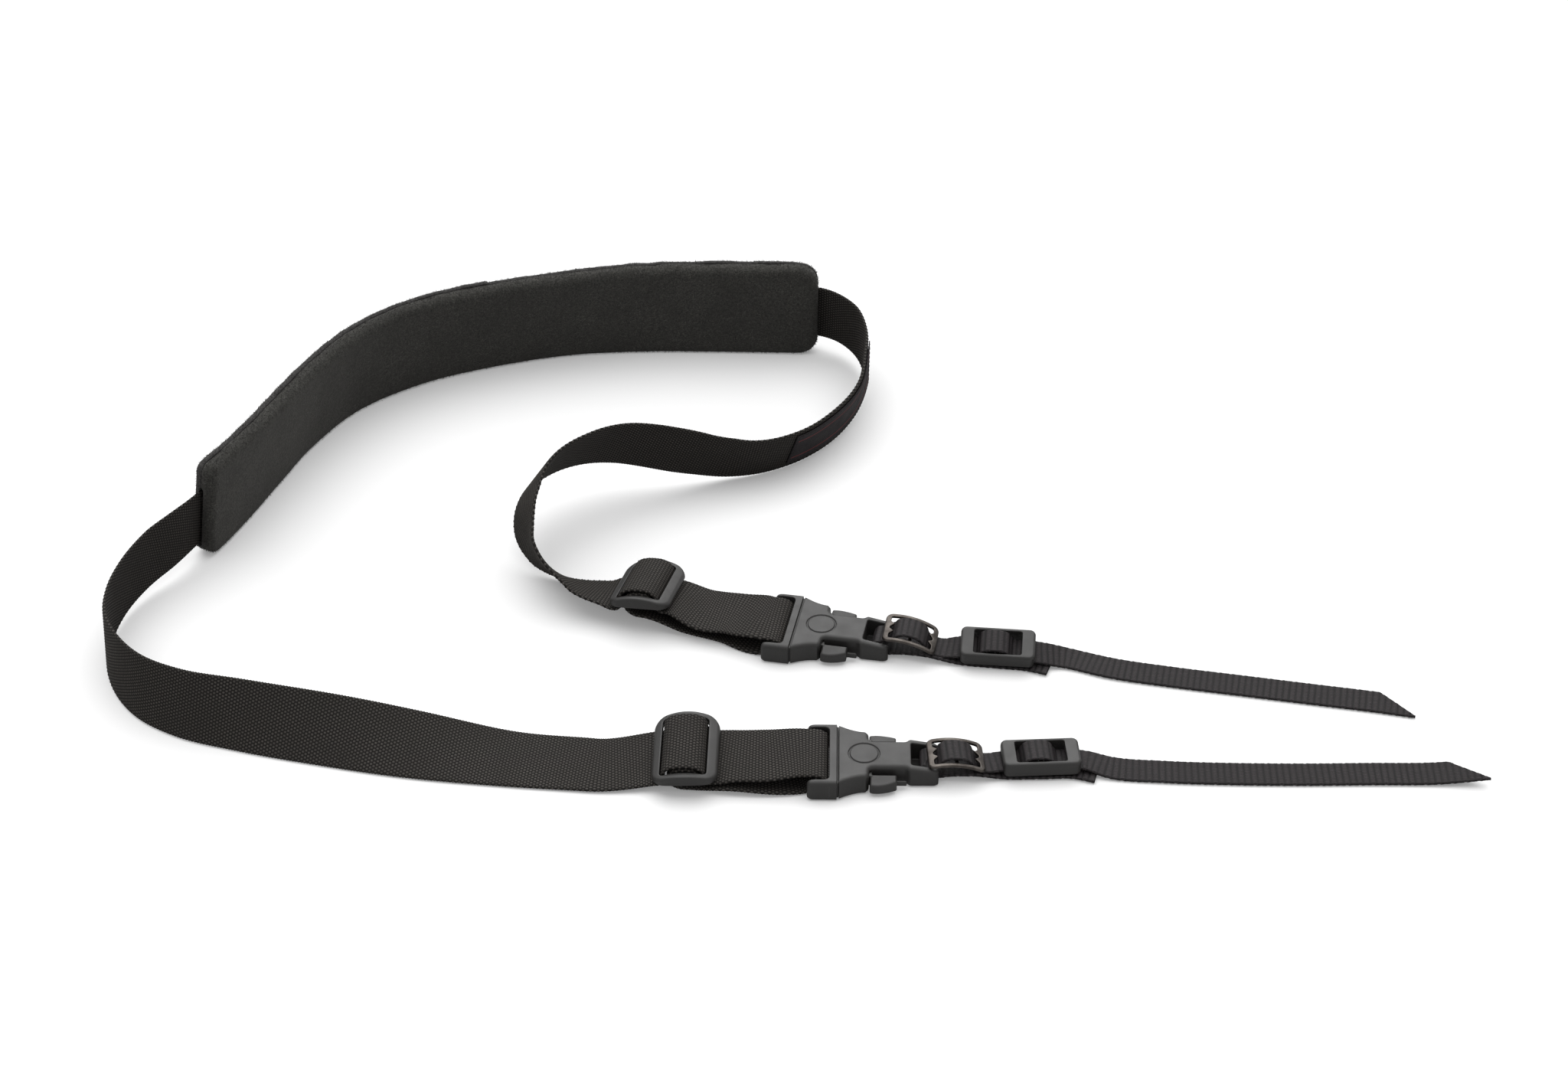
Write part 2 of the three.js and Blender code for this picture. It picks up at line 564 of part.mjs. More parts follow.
function makeKeeper() {
  const k = KEEPER;
  const outline = rectangle(-k.length / 2, -k.width / 2, k.length / 2, k.width / 2, k.corner);
  const halfLong = k.windowLength / 2;
  const halfWide = k.windowWidth / 2;
  const opening = rectangle(-halfLong, -halfWide, halfLong, halfWide, k.windowCorner);
  const tunnel = rectangle(-k.length, -PAST, k.length, k.high - k.roof);
  return toGeometry(raised(outline, 0, k.high, k.edge)
    .subtract(raised(opening, -PAST, k.high + PAST))
    .subtract(drawnAcross(tunnel, k.windowWidth))
    .add(crossBar(0, k.barHigh, k.barRadius, k.windowWidth + k.barRadius)));
}

// A frame at a piece's place on the table.
function frameAt({ x, y, z, yaw, pitch, roll }) {
  const group = new THREE.Group();
  group.position.set(x, y, z);
  group.rotation.order = 'ZYX';
  group.rotation.set(...[roll, -pitch, yaw].map(THREE.MathUtils.degToRad));
  group.updateMatrixWorld();
  return group;
}

// Rows of a threading table become points in the pieces' frames; a row round a bar becomes an arc of points.
function threadRows(table, frames, side) {
  const rows = [];
  for (const row of table) {
    const frame = frames[row.at];
    const across = new THREE.Vector3(0, side, 0).transformDirection(frame.matrixWorld);
    const spots = row.around ? roundBar(bars[row.around], row.from, row.to) : [row];
    for (const spot of spots) {
      const centre = frame.localToWorld(new THREE.Vector3(spot.along, spot.aside ?? 0, spot.high));
      rows.push({ x: centre.x, y: centre.y, z: centre.z, ax: across.x, ay: across.y, az: across.z });
    }
  }
  return rows;
}

function roundBar({ along, high, radius, cloth }, from, to) {
  const spots = [];
  const reach = radius + CLEARANCE + cloth / 2;
  for (let i = 0; i <= WRAP_STEPS; i += 1) {
    const angle = THREE.MathUtils.degToRad(from + (to - from) * i / WRAP_STEPS);
    spots.push({ along: along + reach * Math.cos(angle), high: high + reach * Math.sin(angle) });
  }
  return spots;
}

function stationsOf(rows, step) {
  return sampleRows(rows, ['x', 'y', 'z', 'ax', 'ay', 'az'], step).map((s) => ({
    centre: new THREE.Vector3(s.x, s.y, s.z),
    across: new THREE.Vector3(s.ax, s.ay, s.az).normalize(),
  }));
}

// The stations that lie between two lengths along a strip.
function stretch(stations, from, to) {
  let length = 0;
  return stations.filter((station, i) => {
    length += i > 0 ? station.centre.distanceTo(stations[i - 1].centre) : 0;
    return length >= from && length <= to;
  });
}

const padSamples = sampleRows(padRows, ['x', 'y', 'lean'], PAD.step).map((sample, i, all) => {
  const travel = directionAt(all, i);
  return { ...sample, left: leftOf(travel), up: leaning(travel, sample.lean) };
});

// How far a rounded corner draws the outline in at a distance from the end.
function cornerCut(radius, distance) {
  const away = Math.min(radius, distance);
  return radius - Math.sqrt(radius ** 2 - (radius - away) ** 2);
}

// One pad layer from its outer face to the seam, both as depths behind the middle line; its ends are rounded.
function padLayer(face, seam) {
  const { height, edge, corner, startCorner } = PAD;
  const lengths = [0];
  padSamples.slice(1).forEach((p, i) => {
    lengths.push(lengths[i] + Math.hypot(p.x - padSamples[i].x, p.y - padSamples[i].y));
  });
  const total = lengths[lengths.length - 1];
  const places = lengths.filter((s) => s > corner && s < total - corner);
  cornerShares.forEach((share) => places.push(share * corner, total - share * corner));
  const rings = places.sort((a, b) => a - b).map((place) => {
    const i = Math.max(1, lengths.findIndex((s) => s >= place - WELD));
    const t = (place - lengths[i - 1]) / (lengths[i] - lengths[i - 1]);
    const [a, b] = [padSamples[i - 1], padSamples[i]];
    const up = a.up.clone().lerp(b.up, t).normalize();
    const left = a.left.clone().lerp(b.left, t);
    const depth = left.addScaledVector(up, -left.dot(up)).normalize();
    const raise = (PAD.front + PAD.seam / 2 - edge) * depth.z;
    const foot = new THREE.Vector3(a.x + t * (b.x - a.x), a.y + t * (b.y - a.y), raise);
    const low = cornerCut(corner, Math.min(place, total - place));
    const top = height - cornerCut(place < total / 2 ? startCorner : corner, Math.min(place, total - place));
    const inward = Math.sign(seam - face) * edge;
    const section = [
      [face, low + edge], [face + ROUNDED * inward, low + ROUNDED * edge], [face + inward, low],
      [seam, low], [seam, top],
      [face + inward, top], [face + ROUNDED * inward, top - ROUNDED * edge], [face, top - edge],
    ];
    const ordered = face < seam ? section : section.reverse();
    return ordered.map(([d, h]) => foot.clone().addScaledVector(depth, d).addScaledVector(up, h));
  });
  return skin(rings);
}

// The wide webbing's stations from inside the pad to the end of its loop at the slider.
function wideStations(strand, frames) {
  const atStart = strand.padEnd === 'start';
  const end = padSamples[atStart ? 0 : padSamples.length - 1];
  const next = padSamples[atStart ? 1 : padSamples.length - 2];
  const inward = new THREE.Vector3(next.x - end.x, next.y - end.y, 0).normalize();
  const lean = atStart ? -end.lean : end.lean;
  const tucked = [PAD.tuck, 0].map((depth) => ({
    x: end.x + inward.x * depth, y: end.y + inward.y * depth, z: PAD.webbingLow, lean,
  }));
  const samples = sampleRows([...tucked, ...strand.run], ['x', 'y', 'z', 'lean'], WEBBING.freeStep);
  const rows = samples.map((sample, i) => {
    const up = leaning(directionAt(samples, i), sample.lean);
    const centre = new THREE.Vector3(sample.x, sample.y, sample.z).addScaledVector(up, WEBBING.width / 2);
    return { x: centre.x, y: centre.y, z: centre.z, ax: up.x, ay: up.y, az: up.z };
  });
  return stationsOf([...rows, ...threadRows(wideThreading, frames, strand.side)], WEBBING.step);
}

function narrowStations(strand, frames) {
  const across = new THREE.Vector3(0, 1, 0).transformDirection(frames.keeper.matrixWorld).setZ(0).normalize();
  const laid = (row, left) => ({ ...row, ax: left.x, ay: left.y, az: left.z });
  const underEnd = laid(strand.underEnd, across);
  const tail = strand.tail.map((row, i, all) => laid(row, leaning(directionAt(all, i), NARROW.tailLean)));
  const rows = [underEnd, ...threadRows(narrowThreading, frames, 1), ...tail];
  return cutTip(stationsOf(rows, NARROW.step));
}

// The tail's slanting cut: its left edge stops short of the tip.
function cutTip(stations) {
  const tip = stations[stations.length - 1].centre;
  const { width, tipLength, tipWidth } = NARROW;
  return stations.map((station, i) => {
    const left = station.centre.distanceTo(tip);
    const inTail = i > stations.length / 2 && left < tipLength;
    const to = inTail ? -width / 2 + tipWidth + (width - tipWidth) * left / tipLength : width / 2;
    return { ...station, to };
  });
}

// The label lies on the outer face of the rear webbing, over a stretch measured from the pad.
function labelGeometry(stations) {
  const lifted = WEBBING.thick / 2 + LABEL.play + LABEL.thick / 2;
  const centred = stretch(stations, LABEL.from, LABEL.to).map(({ centre, across }) => ({
    centre: centre.clone().addScaledVector(across, LABEL.drop), across,
  }));
  return stripGeometry(centred, LABEL, -lifted);
}

const strap = new THREE.Group();
let padFront = toSolid(padLayer(-PAD.seam / 2 - PAD.front, -PAD.seam / 2));
let padBack = toSolid(padLayer(PAD.seam / 2 + PAD.back, PAD.seam / 2));
const pocket = {
  width: WEBBING.width + PAD.pocketPlay,
  thick: WEBBING.thick + 2 * CLEARANCE,
  selvedge: WEBBING.selvedge,
};

for (const strand of strands) {
  const frames = {};
  for (const [piece, place] of Object.entries(strand.pieces)) frames[piece] = frameAt(place);
  const label = (piece) => `${piece}_${strand.name}`;
  frames.slider.add(named(label('slider'), makeSlider(), 'plastic'));
  frames.buckle.add(named(label('buckle_plug'), makePlug(), 'plastic'));
  frames.buckle.add(named(label('buckle_socket'), makeSocket(), 'plastic'));
  frames.toothSlide.add(named(label('tooth_slide'), makeToothSlide(), 'metal'));
  frames.keeper.add(named(label('keeper'), makeKeeper(), 'plastic'));
  strap.add(...Object.values(frames));
  for (const [guide, place] of Object.entries(strand.guides)) frames[guide] = frameAt(place);
  const wide = wideStations(strand, frames);
  const inPad = toSolid(stripGeometry(stretch(wide, 0, PAD.pocketLength), pocket));
  padFront = padFront.subtract(inPad);
  padBack = padBack.subtract(inPad);
  strap.add(named(label('webbing'), stripGeometry(wide, WEBBING), 'webbing'));
  strap.add(named(label('narrow_webbing'), stripGeometry(narrowStations(strand, frames), NARROW), 'narrow'));
  if (strand.name === 'rear') strap.add(named('label_patch', labelGeometry(wide), 'label'));
}

strap.add(named('pad_front', toGeometry(padFront), 'suede'));
strap.add(named('pad_back', toGeometry(padBack), 'backing'));

// The strap rests on the table about the middle of its outline.
const box = new THREE.Box3().setFromObject(strap, true);
const middle = box.getCenter(new THREE.Vector3());
strap.position.set(-middle.x, -middle.y, -box.min.z);

export default strap;
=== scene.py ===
"""A padded neck strap lying on a pale table: suede pad, woven webbing, moulded buckles and metal slides."""

import math
from types import SimpleNamespace as Sizes

import bpy
import numpy as np
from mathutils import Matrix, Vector, noise


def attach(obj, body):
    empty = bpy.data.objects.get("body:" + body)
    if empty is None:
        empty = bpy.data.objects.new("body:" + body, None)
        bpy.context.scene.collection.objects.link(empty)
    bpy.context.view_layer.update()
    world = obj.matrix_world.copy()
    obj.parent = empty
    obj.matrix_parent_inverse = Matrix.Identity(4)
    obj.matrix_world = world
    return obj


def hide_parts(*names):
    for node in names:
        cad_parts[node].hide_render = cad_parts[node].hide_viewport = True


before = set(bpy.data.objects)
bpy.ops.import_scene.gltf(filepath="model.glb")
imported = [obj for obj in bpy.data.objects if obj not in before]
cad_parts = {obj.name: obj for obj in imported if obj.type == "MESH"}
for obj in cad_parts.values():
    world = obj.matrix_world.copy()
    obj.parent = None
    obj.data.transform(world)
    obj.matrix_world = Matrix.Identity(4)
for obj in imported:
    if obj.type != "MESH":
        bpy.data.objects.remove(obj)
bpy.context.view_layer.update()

# Sizes are millimetres unless a name says otherwise; meshes are made in metres.
MM = 0.001
# Where the drawing's origin lies in the part's frame.
SHIFT = np.array([1.613, 5.281, 0.0])

CAMERA = Sizes(distance=1153.0, elevation=36.0, lens=70.0, sensor=36.0)

WEBBING = Sizes(
    width=25.4, thick=1.5, free_step=4.6, column=1.065, dot=1.26, relief=0.26, selvedge=0.45, scallop=0.2,
    shoulder=0.22, shoulder_high=0.55)
NARROW = Sizes(
    width=10.0, thick=1.3, rib=2.23, float=0.74, relief=0.26, float_relief=0.12, zigzag=0.24, scallop=0.26,
    tip_length=13.0, tip_width=0.9, tail_lean=82.0, columns=29, margin=0.25, rib_power=0.45, rib_steps=6)
STITCH = Sizes(pitch=2.2, length=1.75, thread=0.42, inset=1.0, sunk=-0.05, end_steps=12, segments=8, rings=5)
LABEL = Sizes(
    width=20.0, thick=0.45, start=50.0, end=118.5, drop=1.0, lift=0.12, rim=0.25, columns=24, rib=0.42,
    lines=(5.6, -5.9), line_wide=0.6, line_stop=1.2)
PAD = Sizes(
    height=43.2, front=5.0, back=2.5, seam=0.6, edge=1.8, corner=8.0, start_corner=3.5, webbing_low=6.2,
    tuck=9.0, pocket_length=24.0, pocket_play=1.2, cell=1.5, roll=2.7, step_at=174.5, step_drop=1.2,
    step_long=14.0, seam_line=0.14, fine_step=2.0, coarse_step=8.0, round_steps=7, end_rows=8, rows=30,
    rim_power=6, pocket_slope=3.0, pocket_edge=0.5, step_fade=3, fill=0.9)
# The nap's short fibres: how many on a square millimetre of rim, how far the rim reaches in, length and thickness,
# tilt in radians, sides, and the least and most of their size.
NAP = Sizes(rim=3.4, rim_wide=2.2, length=0.9, radius=0.085, tilt=1.1, sides=3, least=0.45, most=1.25)
SLIDER = Sizes(
    length=22.6, width=31.6, crown=5.0, rim=1.8, corner=4.2, left_bar=3.0, right_bar=3.7, rail=2.7,
    window_corner=1.4, bar_radius=1.2, bar_high=2.3, edge=0.9, bow=1.3, window_bow=0.1, hollow=0.7,
    hollow_edge=0.5, window_edge=0.4, fillet=0.4, grid=0.25)
BUCKLE = Sizes(width=32.0, high=8.2, edge=1.6, gap=0.35, joint_edge=0.15, past=4.0)
PLUG = Sizes(
    length=11.0, arm=2.15, crossbar=2.6, corner=2.0, mouth_corner=2.0, bar_radius=1.5, bar_along=-6.25,
    bar_high=4.8, high=8.2, toe_long=2.0, toe_high=0.9, nose_long=4.0, nose_drop=2.4, collar_inset=0.9,
    collar_corner=0.5, collar_deep=0.68, mouth_edge=0.35, mouth_past=6.0, fillet=0.4, grid=0.22)
PRONG = Sizes(
    inside=7.55, outside=9.65, root=-1.25, stem_to=11.6, low=2.2, high=6.2, button_from=10.8, button_to=20.0,
    button_in=8.6, button_low=1.2, button_high=6.4, button_slope=0.25, nose_out=13.2, swell_at=14.0,
    swell_out=14.6, heel_out=11.8, spur_from=19.4, spur_to=23.4, spur_in=8.6, spur_out=9.5, spur_low=1.6,
    spur_high=3.6, edge=0.8, stem_edge=0.3, fillet=0.5)
SOCKET = Sizes(
    length=34.8, swell_at=4.5, swell_half=12.1, pocket_to=12.8, pocket_low=1.8, pocket_high=6.6,
    pocket_in=7.2, pocket_out=10.0, slot_from=24.9, slot_half=5.8, end_high=6.6, bar_along=30.6, bar_high=4.2,
    bar_radius=1.3, floor_to=28.5, floor_high=0.9, ring_radius=5.4, ring_wide=0.6, ring_deep=0.4,
    ring_along=8.9, shoulder_out=2.6, slot_corner=0.9, slot_edge=0.4, floor_low=0.1, floor_past=1.0,
    bar_past=0.6, fillet=0.4, grid=0.2)
TOOTH_SLIDE = Sizes(
    length=19.6, width=14.4, sheet=1.2, rise=2.0, bar=1.9, rail=1.5, corner=2.2, teeth=2, tooth_deep=1.5,
    tooth_wide=2.9, bar_radius=0.7, bar_high=1.6, post_high=2.7, post_in=0.3, post_out=0.5, inner_corner=0.7,
    tooth_root=0.3, tooth_tip=0.2, sheet_edge=0.4, fillet=0.2, fillet_steps=4, grid=0.16)
KEEPER = Sizes(
    length=26.7, width=13.6, high=5.8, corner=2.2, edge=1.1, window_length=17.2, window_width=10.6,
    window_corner=0.8, roof=2.5, bar_radius=1.0, bar_high=2.5, window_edge=0.2, fillet=0.3, grid=0.22)
CLEARANCE = 0.3
WRAP_STEPS, FILLET_STEPS, BEND_STEPS = 6, 6, 10
# The most of a side that a rounded corner takes.
CORNER_SHARE = 0.45
# Unevenness of the pad's face and of its upper rim: lengths of the waves and their heights.
FACE_WAVES = [(26.0, 0.35), (7.0, 0.12)]
RIM_WAVES = [(8.0, 0.5), (2.6, 0.25)]

# Looks: values of the shader, sizes of the fine and the broad grain, strength and depth of the bump, colours. The
# others spread a value from one range to another: the grain's tone, its worn blotches, roughness, and so on.
NAPPED = dict(
    shader={"Roughness": 0.95, "Specular IOR Level": 0.2, "Sheen Weight": 0.12, "Sheen Roughness": 0.6,
            "Sheen Tint": (0.6, 0.58, 0.56, 1)},
    bump=(0.8, 0.22), tone=(0.32, 0.72), specks=(0.3, 0.7, 0.45, 1.1), worn=(0.35, 0.7, 0, 0.35))
LOOKS = {
    # In the wide webbing the dark gap colour and the lighter dot colour paint shade and light on the weave's relief:
    # painted shade in its low gaps, painted light on its raised dots. The third colour is worn blotches.
    "wide_webbing": Sizes(
        shader={"Specular IOR Level": 0.12}, grain=(0.5, 14.0), bump=(0.35, 0.05),
        tone=(0.3, 0.75, 0.55, 1.15), worn=(0.35, 0.7, 0, 0.3), rough=(0, 1, 0.85, 0.6),
        colours=[(0.0075, 0.0069, 0.0063), (0.082, 0.075, 0.068), (0.016, 0.0145, 0.013)]),
    # In the narrow webbing the dark gap colour paints shade in the rib grooves and the float dips, and the lighter top
    # colour paints the lit rib tops. The third colour is worn blotches.
    "narrow_webbing": Sizes(
        shader={"Roughness": 0.62, "Specular IOR Level": 0.2}, grain=(0.4, 10.0), bump=(0.3, 0.05),
        tone=(0.3, 0.75, 0.5, 1.2), worn=(0.4, 0.7, 0, 0.4), floats=(-1, 1, 0.35, 1), rib=(0.05, 0.85),
        colours=[(0.002, 0.0018, 0.0019), (0.04, 0.034, 0.036), (0.014, 0.012, 0.0126)]),
    "label_cloth": Sizes(
        shader={"Specular IOR Level": 0.15}, grain=(0.35, 8.0), bump=(0.5, 0.06),
        tone=(0.3, 0.75), rough=(0.3, 0.7, 0.65, 0.8),
        colours=[(0.008, 0.0072, 0.0078), (0.034, 0.029, 0.031), (0.13, 0.03, 0.032)]),
    "pad_suede": Sizes(
        **NAPPED, grain=(0.5, 16.0), colours=[(0.0145, 0.0143, 0.013), (0.073, 0.071, 0.064)]),
    "pad_backing": Sizes(
        **NAPPED, grain=(0.6, 16.0), colours=[(0.02, 0.019, 0.0185), (0.085, 0.082, 0.08)]),
    "moulded_plastic": Sizes(
        shader={"Specular IOR Level": 0.45}, grain=(0.22, 6.0), bump=(0.25, 0.04),
        worn=(0.35, 0.7, 0, 0.4), rough=(0.3, 0.7, 0.42, 0.54),
        colours=[(0.0105, 0.0101, 0.0096), (0.026, 0.0248, 0.0236), (0.019, 0.0182, 0.0173)]),
    "slide_metal": Sizes(
        shader={"Metallic": 0.95}, grain=(0.3, 3.5), bump=(0.2, 0.03), tone=(0.35, 0.68), rough=(0.3, 0.7, 0.34, 0.5),
        colours=[(0.045, 0.039, 0.035), (0.105, 0.094, 0.085)]),
    "table": Sizes(
        shader={"Roughness": 0.8, "Specular IOR Level": 0.0, "Emission Color": (1, 1, 1, 1), "Emission Strength": 0.18},
        grain=(40.0, 400.0), colours=[(0.71, 0.71, 0.71), (0.73, 0.73, 0.73), (0.5, 0.5, 0.5)]),
}
# The specks of the nap: share of the fine grain's size, blotch.
SPECKS = (2.4, 30.0)
# Detail and roughness of the noise in the fine and the broad grain.
FINE_NOISE, BROAD_NOISE = (2.0, 0.6), (3.0, 0.5)

TABLE_HALF = 3000
# Strength of the light from all around on the strap, and of the white behind it that the camera sees.
FILL, BACKDROP = 0.66, 1.0
# Name, strength, width in degrees and tilt towards the back; the gloss light shows only in reflections.
SOFT_BOXES = [("overhead", 2.4, 80, -15), ("gloss", 1.1, 60, -54)]

# The foot of the pad's middle line: x, y, z, degrees that it leans away from the wearer.
PAD_ROWS = [
    (-219.6, -10.6, 0, -9), (-207.7, 17.7, 0, -11), (-199.3, 41.3, 0, -12), (-190.1, 65.2, 0, -13),
    (-174.5, 91.0, 0, -13), (-150.7, 111.2, 0, -12), (-119.4, 125.6, 0, -13), (-87.9, 134.4, 0, -13),
    (-55.1, 137.0, 0, -9), (-21.0, 136.6, 0, -7), (13.8, 135.8, 0, -7),
]

# Each strand: run is the foot of the wide webbing (x, y, z, degrees of lean to the left of travel),
# pieces are the places of what is threaded on it (x, y, z, yaw, pitch, roll), with the upper and lower webbing
# between slider and buckle, tail the narrow webbing's middle.
STRANDS = {
    "front": {
        "pad_end": "start",
        "side": 1,
        "run": [
            (-226.4, -23.2, 5.2, 5), (-233.4, -32.4, 3.6, 5), (-239.8, -45.4, 1.9, 5), (-242.8, -62.0, 0.8, 4),
            (-241.6, -77.0, 0.3, 4), (-236.0, -92.5, 0.3, 8), (-226.0, -106.0, 0.3, 13),
            (-211.2, -116.1, 0.3, 20), (-189.0, -123.9, 0.3, 32), (-161.4, -131.3, 0.4, 45),
            (-129.1, -138.5, 0.6, 63), (-97.5, -142.8, 0.8, 81.5), (-66.0, -146.0, 1.1, 85),
        ],
        "pieces": {
            "slider": (-33.4, -133.6, 7.3, -2, 3, 7),
            "buckle": (18.4, -134.2, 0.1, -1, 0, 0),
            "tooth_slide": (58.4, -135.1, 6.5, 3.5, -8, 2),
            "keeper": (87.7, -132.9, 2.4, 3, 0, 2),
            "upper": (-8.0, -134.5, 6.8, -1.5, 0, 4),
            "lower": (-0.6, -135.3, 0, -1, 0, 0),
        },
        "under_end": (107.0, -136.6, 0.9),
        "tail": [
            (112.0, -134.6, 1.9), (130.0, -136.4, 1.6), (153.4, -137.4, 1.5), (176.8, -137.7, 1.5),
            (200.4, -137.5, 1.6), (223.9, -137.7, 2.1), (240.2, -138.0, 4.3),
        ],
    },
    "rear": {
        "pad_end": "end",
        "side": -1,
        "run": [
            (21.5, 132.5, 5.6, -6), (29.0, 124.0, 4.3, -3), (33.0, 108.0, 2.4, 0), (31.0, 93.0, 1.2, 4),
            (25.0, 77.5, 0.5, 14), (13.9, 61.0, 0.3, 21), (1.0, 50.0, 0.3, 26), (-12.5, 43.6, 0.5, 26),
            (-24.1, 40.6, 1.6, 22), (-34.3, 38.2, 4.2, 20), (-44.5, 35.8, 7.3, 16), (-54.7, 34.1, 10.7, 16),
            (-64.8, 32.0, 13.9, 20), (-74.5, 28.2, 16.4, 26), (-83.4, 22.5, 18.0, 31), (-91.3, 15.2, 18.4, 33),
            (-97.6, 6.6, 17.5, 33), (-100.7, -3.0, 14.4, 26), (-99.7, -12.3, 9.5, 7), (-93.9, -19.5, 4.2, -19),
            (-84.1, -24.3, 1.4, -42), (-72.8, -26.8, 1.1, -61), (-62.5, -28.8, 2.6, -72),
        ],
        "pieces": {
            "slider": (-49.7, -43.6, 9.4, -12.5, 4, -8),
            "buckle": (4.7, -60.4, 0.1, -10.8, 0, 0),
            "tooth_slide": (45.2, -68.1, 7.2, -9, -14, 4),
            "keeper": (76.5, -72.4, 3.5, -5.5, 0, 14),
            "upper": (-19.5, -53.2, 5.9, -14.5, 0, -2),
            "lower": (-19.0, -52.0, 0, -18, 0, 0),
        },
        "under_end": (95.0, -78.0, 1.0),
        "tail": [
            (100.0, -73.8, 2.1), (117.0, -79.6, 1.7), (138.0, -84.4, 1.5), (161.9, -89.2, 1.5),
            (188.3, -94.5, 1.5), (207.0, -98.2, 1.5), (222.0, -101.6, 1.5),
        ],
    },
}


def round_bar(piece, cloth, first, last):
    """Points (along, high) of cloth that goes round a piece's bar, from one angle to another."""
    reach = piece.bar_radius + CLEARANCE + cloth.thick / 2
    angles = np.radians(np.linspace(first, last, WRAP_STEPS + 1))
    return [(piece.bar_along + reach * math.cos(a), piece.bar_high + reach * math.sin(a)) for a in angles]


# Threading of the webbings in the pieces' own frames: along, high and, where it isn't zero, aside.
WIDE_THREADING = [
    ("slider", [(-10.6, -2.0), (-7.9, -1.5), (-7.35, 1.0), (-7.1, 3.3), (-5.9, 5.2), (-3.2, 6.25), (0, 6.5),
                (3.2, 6.15), (5.4, 4.9), (6.4, 3.2), (6.6, 1.0), (7.1, -1.3), (10.5, -1.9)]),
    ("upper", [(-8.5, 0.1), (2, 0.6)]),
    ("buckle", [(-11.5, 8.05), *round_bar(PLUG, WEBBING, 62, -90), (-11, 1.1, -0.1)]),
    ("lower", [(0, 1.4), (-16, 2.6)]),
    ("slider", [(2.5, -4.4), (-2.5, -3.5), (-4.8, -1.6), (-5.4, 0.6), (-4.9, 2.6), (-3.2, 4.2), (0, 4.7), (2.8, 4.3),
                (4.2, 3.1), (4.6, 1.4)]),
]
NARROW_THREADING = [
    ("keeper", [(12, -0.95, -2.4), (0, -0.95, -1.8), (-13, -0.95, -1.2)]),
    ("buckle", [(47, 3.0, -0.4), (40, 2.6), *round_bar(SOCKET, NARROW, 270, 90)]),
    ("tooth_slide", [(-7.8, -0.9), (-6.1, 0.1), (-5.0, 2.0), (-3.4, 3.2), (0, 3.8), (3.4, 3.2), (5.0, 2.0), (6.1, 0.1),
                     (7.8, -0.9), (10.8, -1.2)]),
    ("keeper", [(-13, 1.5), (-9.4, 1.6), (-7.4, 1.9), (-6.4, 3.1), (-5.5, 4.9), (-4.0, 5.9), (-1.0, 6.25), (1.8, 5.9),
                (3.4, 4.9), (4.4, 3.1), (5.4, 1.9), (8.0, 1.5), (14.5, 0.9)]),
]


# Objects and the camera

def placed(name, data):
    """A new object in the scene."""
    made = bpy.data.objects.new(name, data)
    bpy.context.scene.collection.objects.link(made)
    return made


def make_camera():
    tilt = math.radians(CAMERA.elevation)
    data = bpy.data.cameras.new("camera")
    data.lens = CAMERA.lens
    data.sensor_fit = "HORIZONTAL"
    data.sensor_width = CAMERA.sensor
    camera = placed("camera", data)
    away = np.array([0, -math.cos(tilt), math.sin(tilt)]) * CAMERA.distance
    camera.location = (away + SHIFT) * MM
    camera.rotation_euler = (math.pi / 2 - tilt, 0, 0)
    bpy.context.scene.camera = camera


make_camera()


# Node trees

class Board:
    """Adds nodes to a tree; an input takes a value or another node's socket."""

    def __init__(self, tree):
        self.tree = tree

    def put(self, socket, value):
        if isinstance(value, bpy.types.NodeSocket):
            self.tree.links.new(value, socket)
        else:
            socket.default_value = value

    def add(self, kind, inputs=None, **settings):
        node = self.tree.nodes.new(kind)
        for name, value in settings.items():
            setattr(node, name, value)
        for name, value in (inputs or {}).items():
            self.put(node.inputs[name], value)
        return node

    def math(self, operation, *values):
        node = self.add("ShaderNodeMath", operation=operation)
        for socket, value in zip(node.inputs, values):
            self.put(socket, value)
        return node.outputs[0]

    def times(self, first, second):
        return self.math("MULTIPLY", first, second)

    def plus(self, first, second):
        return self.math("ADD", first, second)

    def wave(self, kind, value, rate):
        """The sine or cosine of value times rate."""
        return self.math(kind, self.times(value, rate))

    def spread(self, value, low, high, to_low=0.0, to_high=1.0):
        ends = {"Value": value, "From Min": low, "From Max": high, "To Min": to_low, "To Max": to_high}
        return self.add("ShaderNodeMapRange", ends).outputs["Result"]

    def mix(self, share, first, second):
        node = self.add("ShaderNodeMix", data_type="RGBA")
        self.put(node.inputs["Factor"], share)
        for name, value in (("A", first), ("B", second)):
            socket = next(s for s in node.inputs if s.name == name and s.type == "RGBA")
            self.put(socket, value)
        return next(s for s in node.outputs if s.type == "RGBA")

    def noise(self, vector, scale, detail, roughness):
        values = {"Vector": vector, "Scale": scale, "Detail": detail, "Roughness": roughness}
        return self.add("ShaderNodeTexNoise", values).outputs["Fac"]


def node_group(name, kind, inputs, outputs):
    """An empty node group; inputs and outputs are socket names with their kinds."""
    tree = bpy.data.node_groups.new(name, kind)
    for way, sockets in (("INPUT", inputs), ("OUTPUT", outputs)):
        for label, socket_kind in sockets.items():
            tree.interface.new_socket(label, in_out=way, socket_type=socket_kind)
    board = Board(tree)
    return board, board.add("NodeGroupInput").outputs, board.add("NodeGroupOutput").inputs


def shader_group(name, inputs, outputs):
    return node_group(name, "ShaderNodeTree", inputs, outputs)


def geometry_tree(name, inputs):
    """A tree with one geometry in and out, and a finish for what it makes."""
    inputs = {"Geometry": GEOMETRY, **inputs, "Finish": "NodeSocketMaterial"}
    return node_group(name, "GeometryNodeTree", inputs, {"Geometry": GEOMETRY})


FLOAT = "NodeSocketFloat"
INTEGER = "NodeSocketInt"
VECTOR = "NodeSocketVector"
GEOMETRY = "NodeSocketGeometry"
THREADS_TO_A_DOT = 4


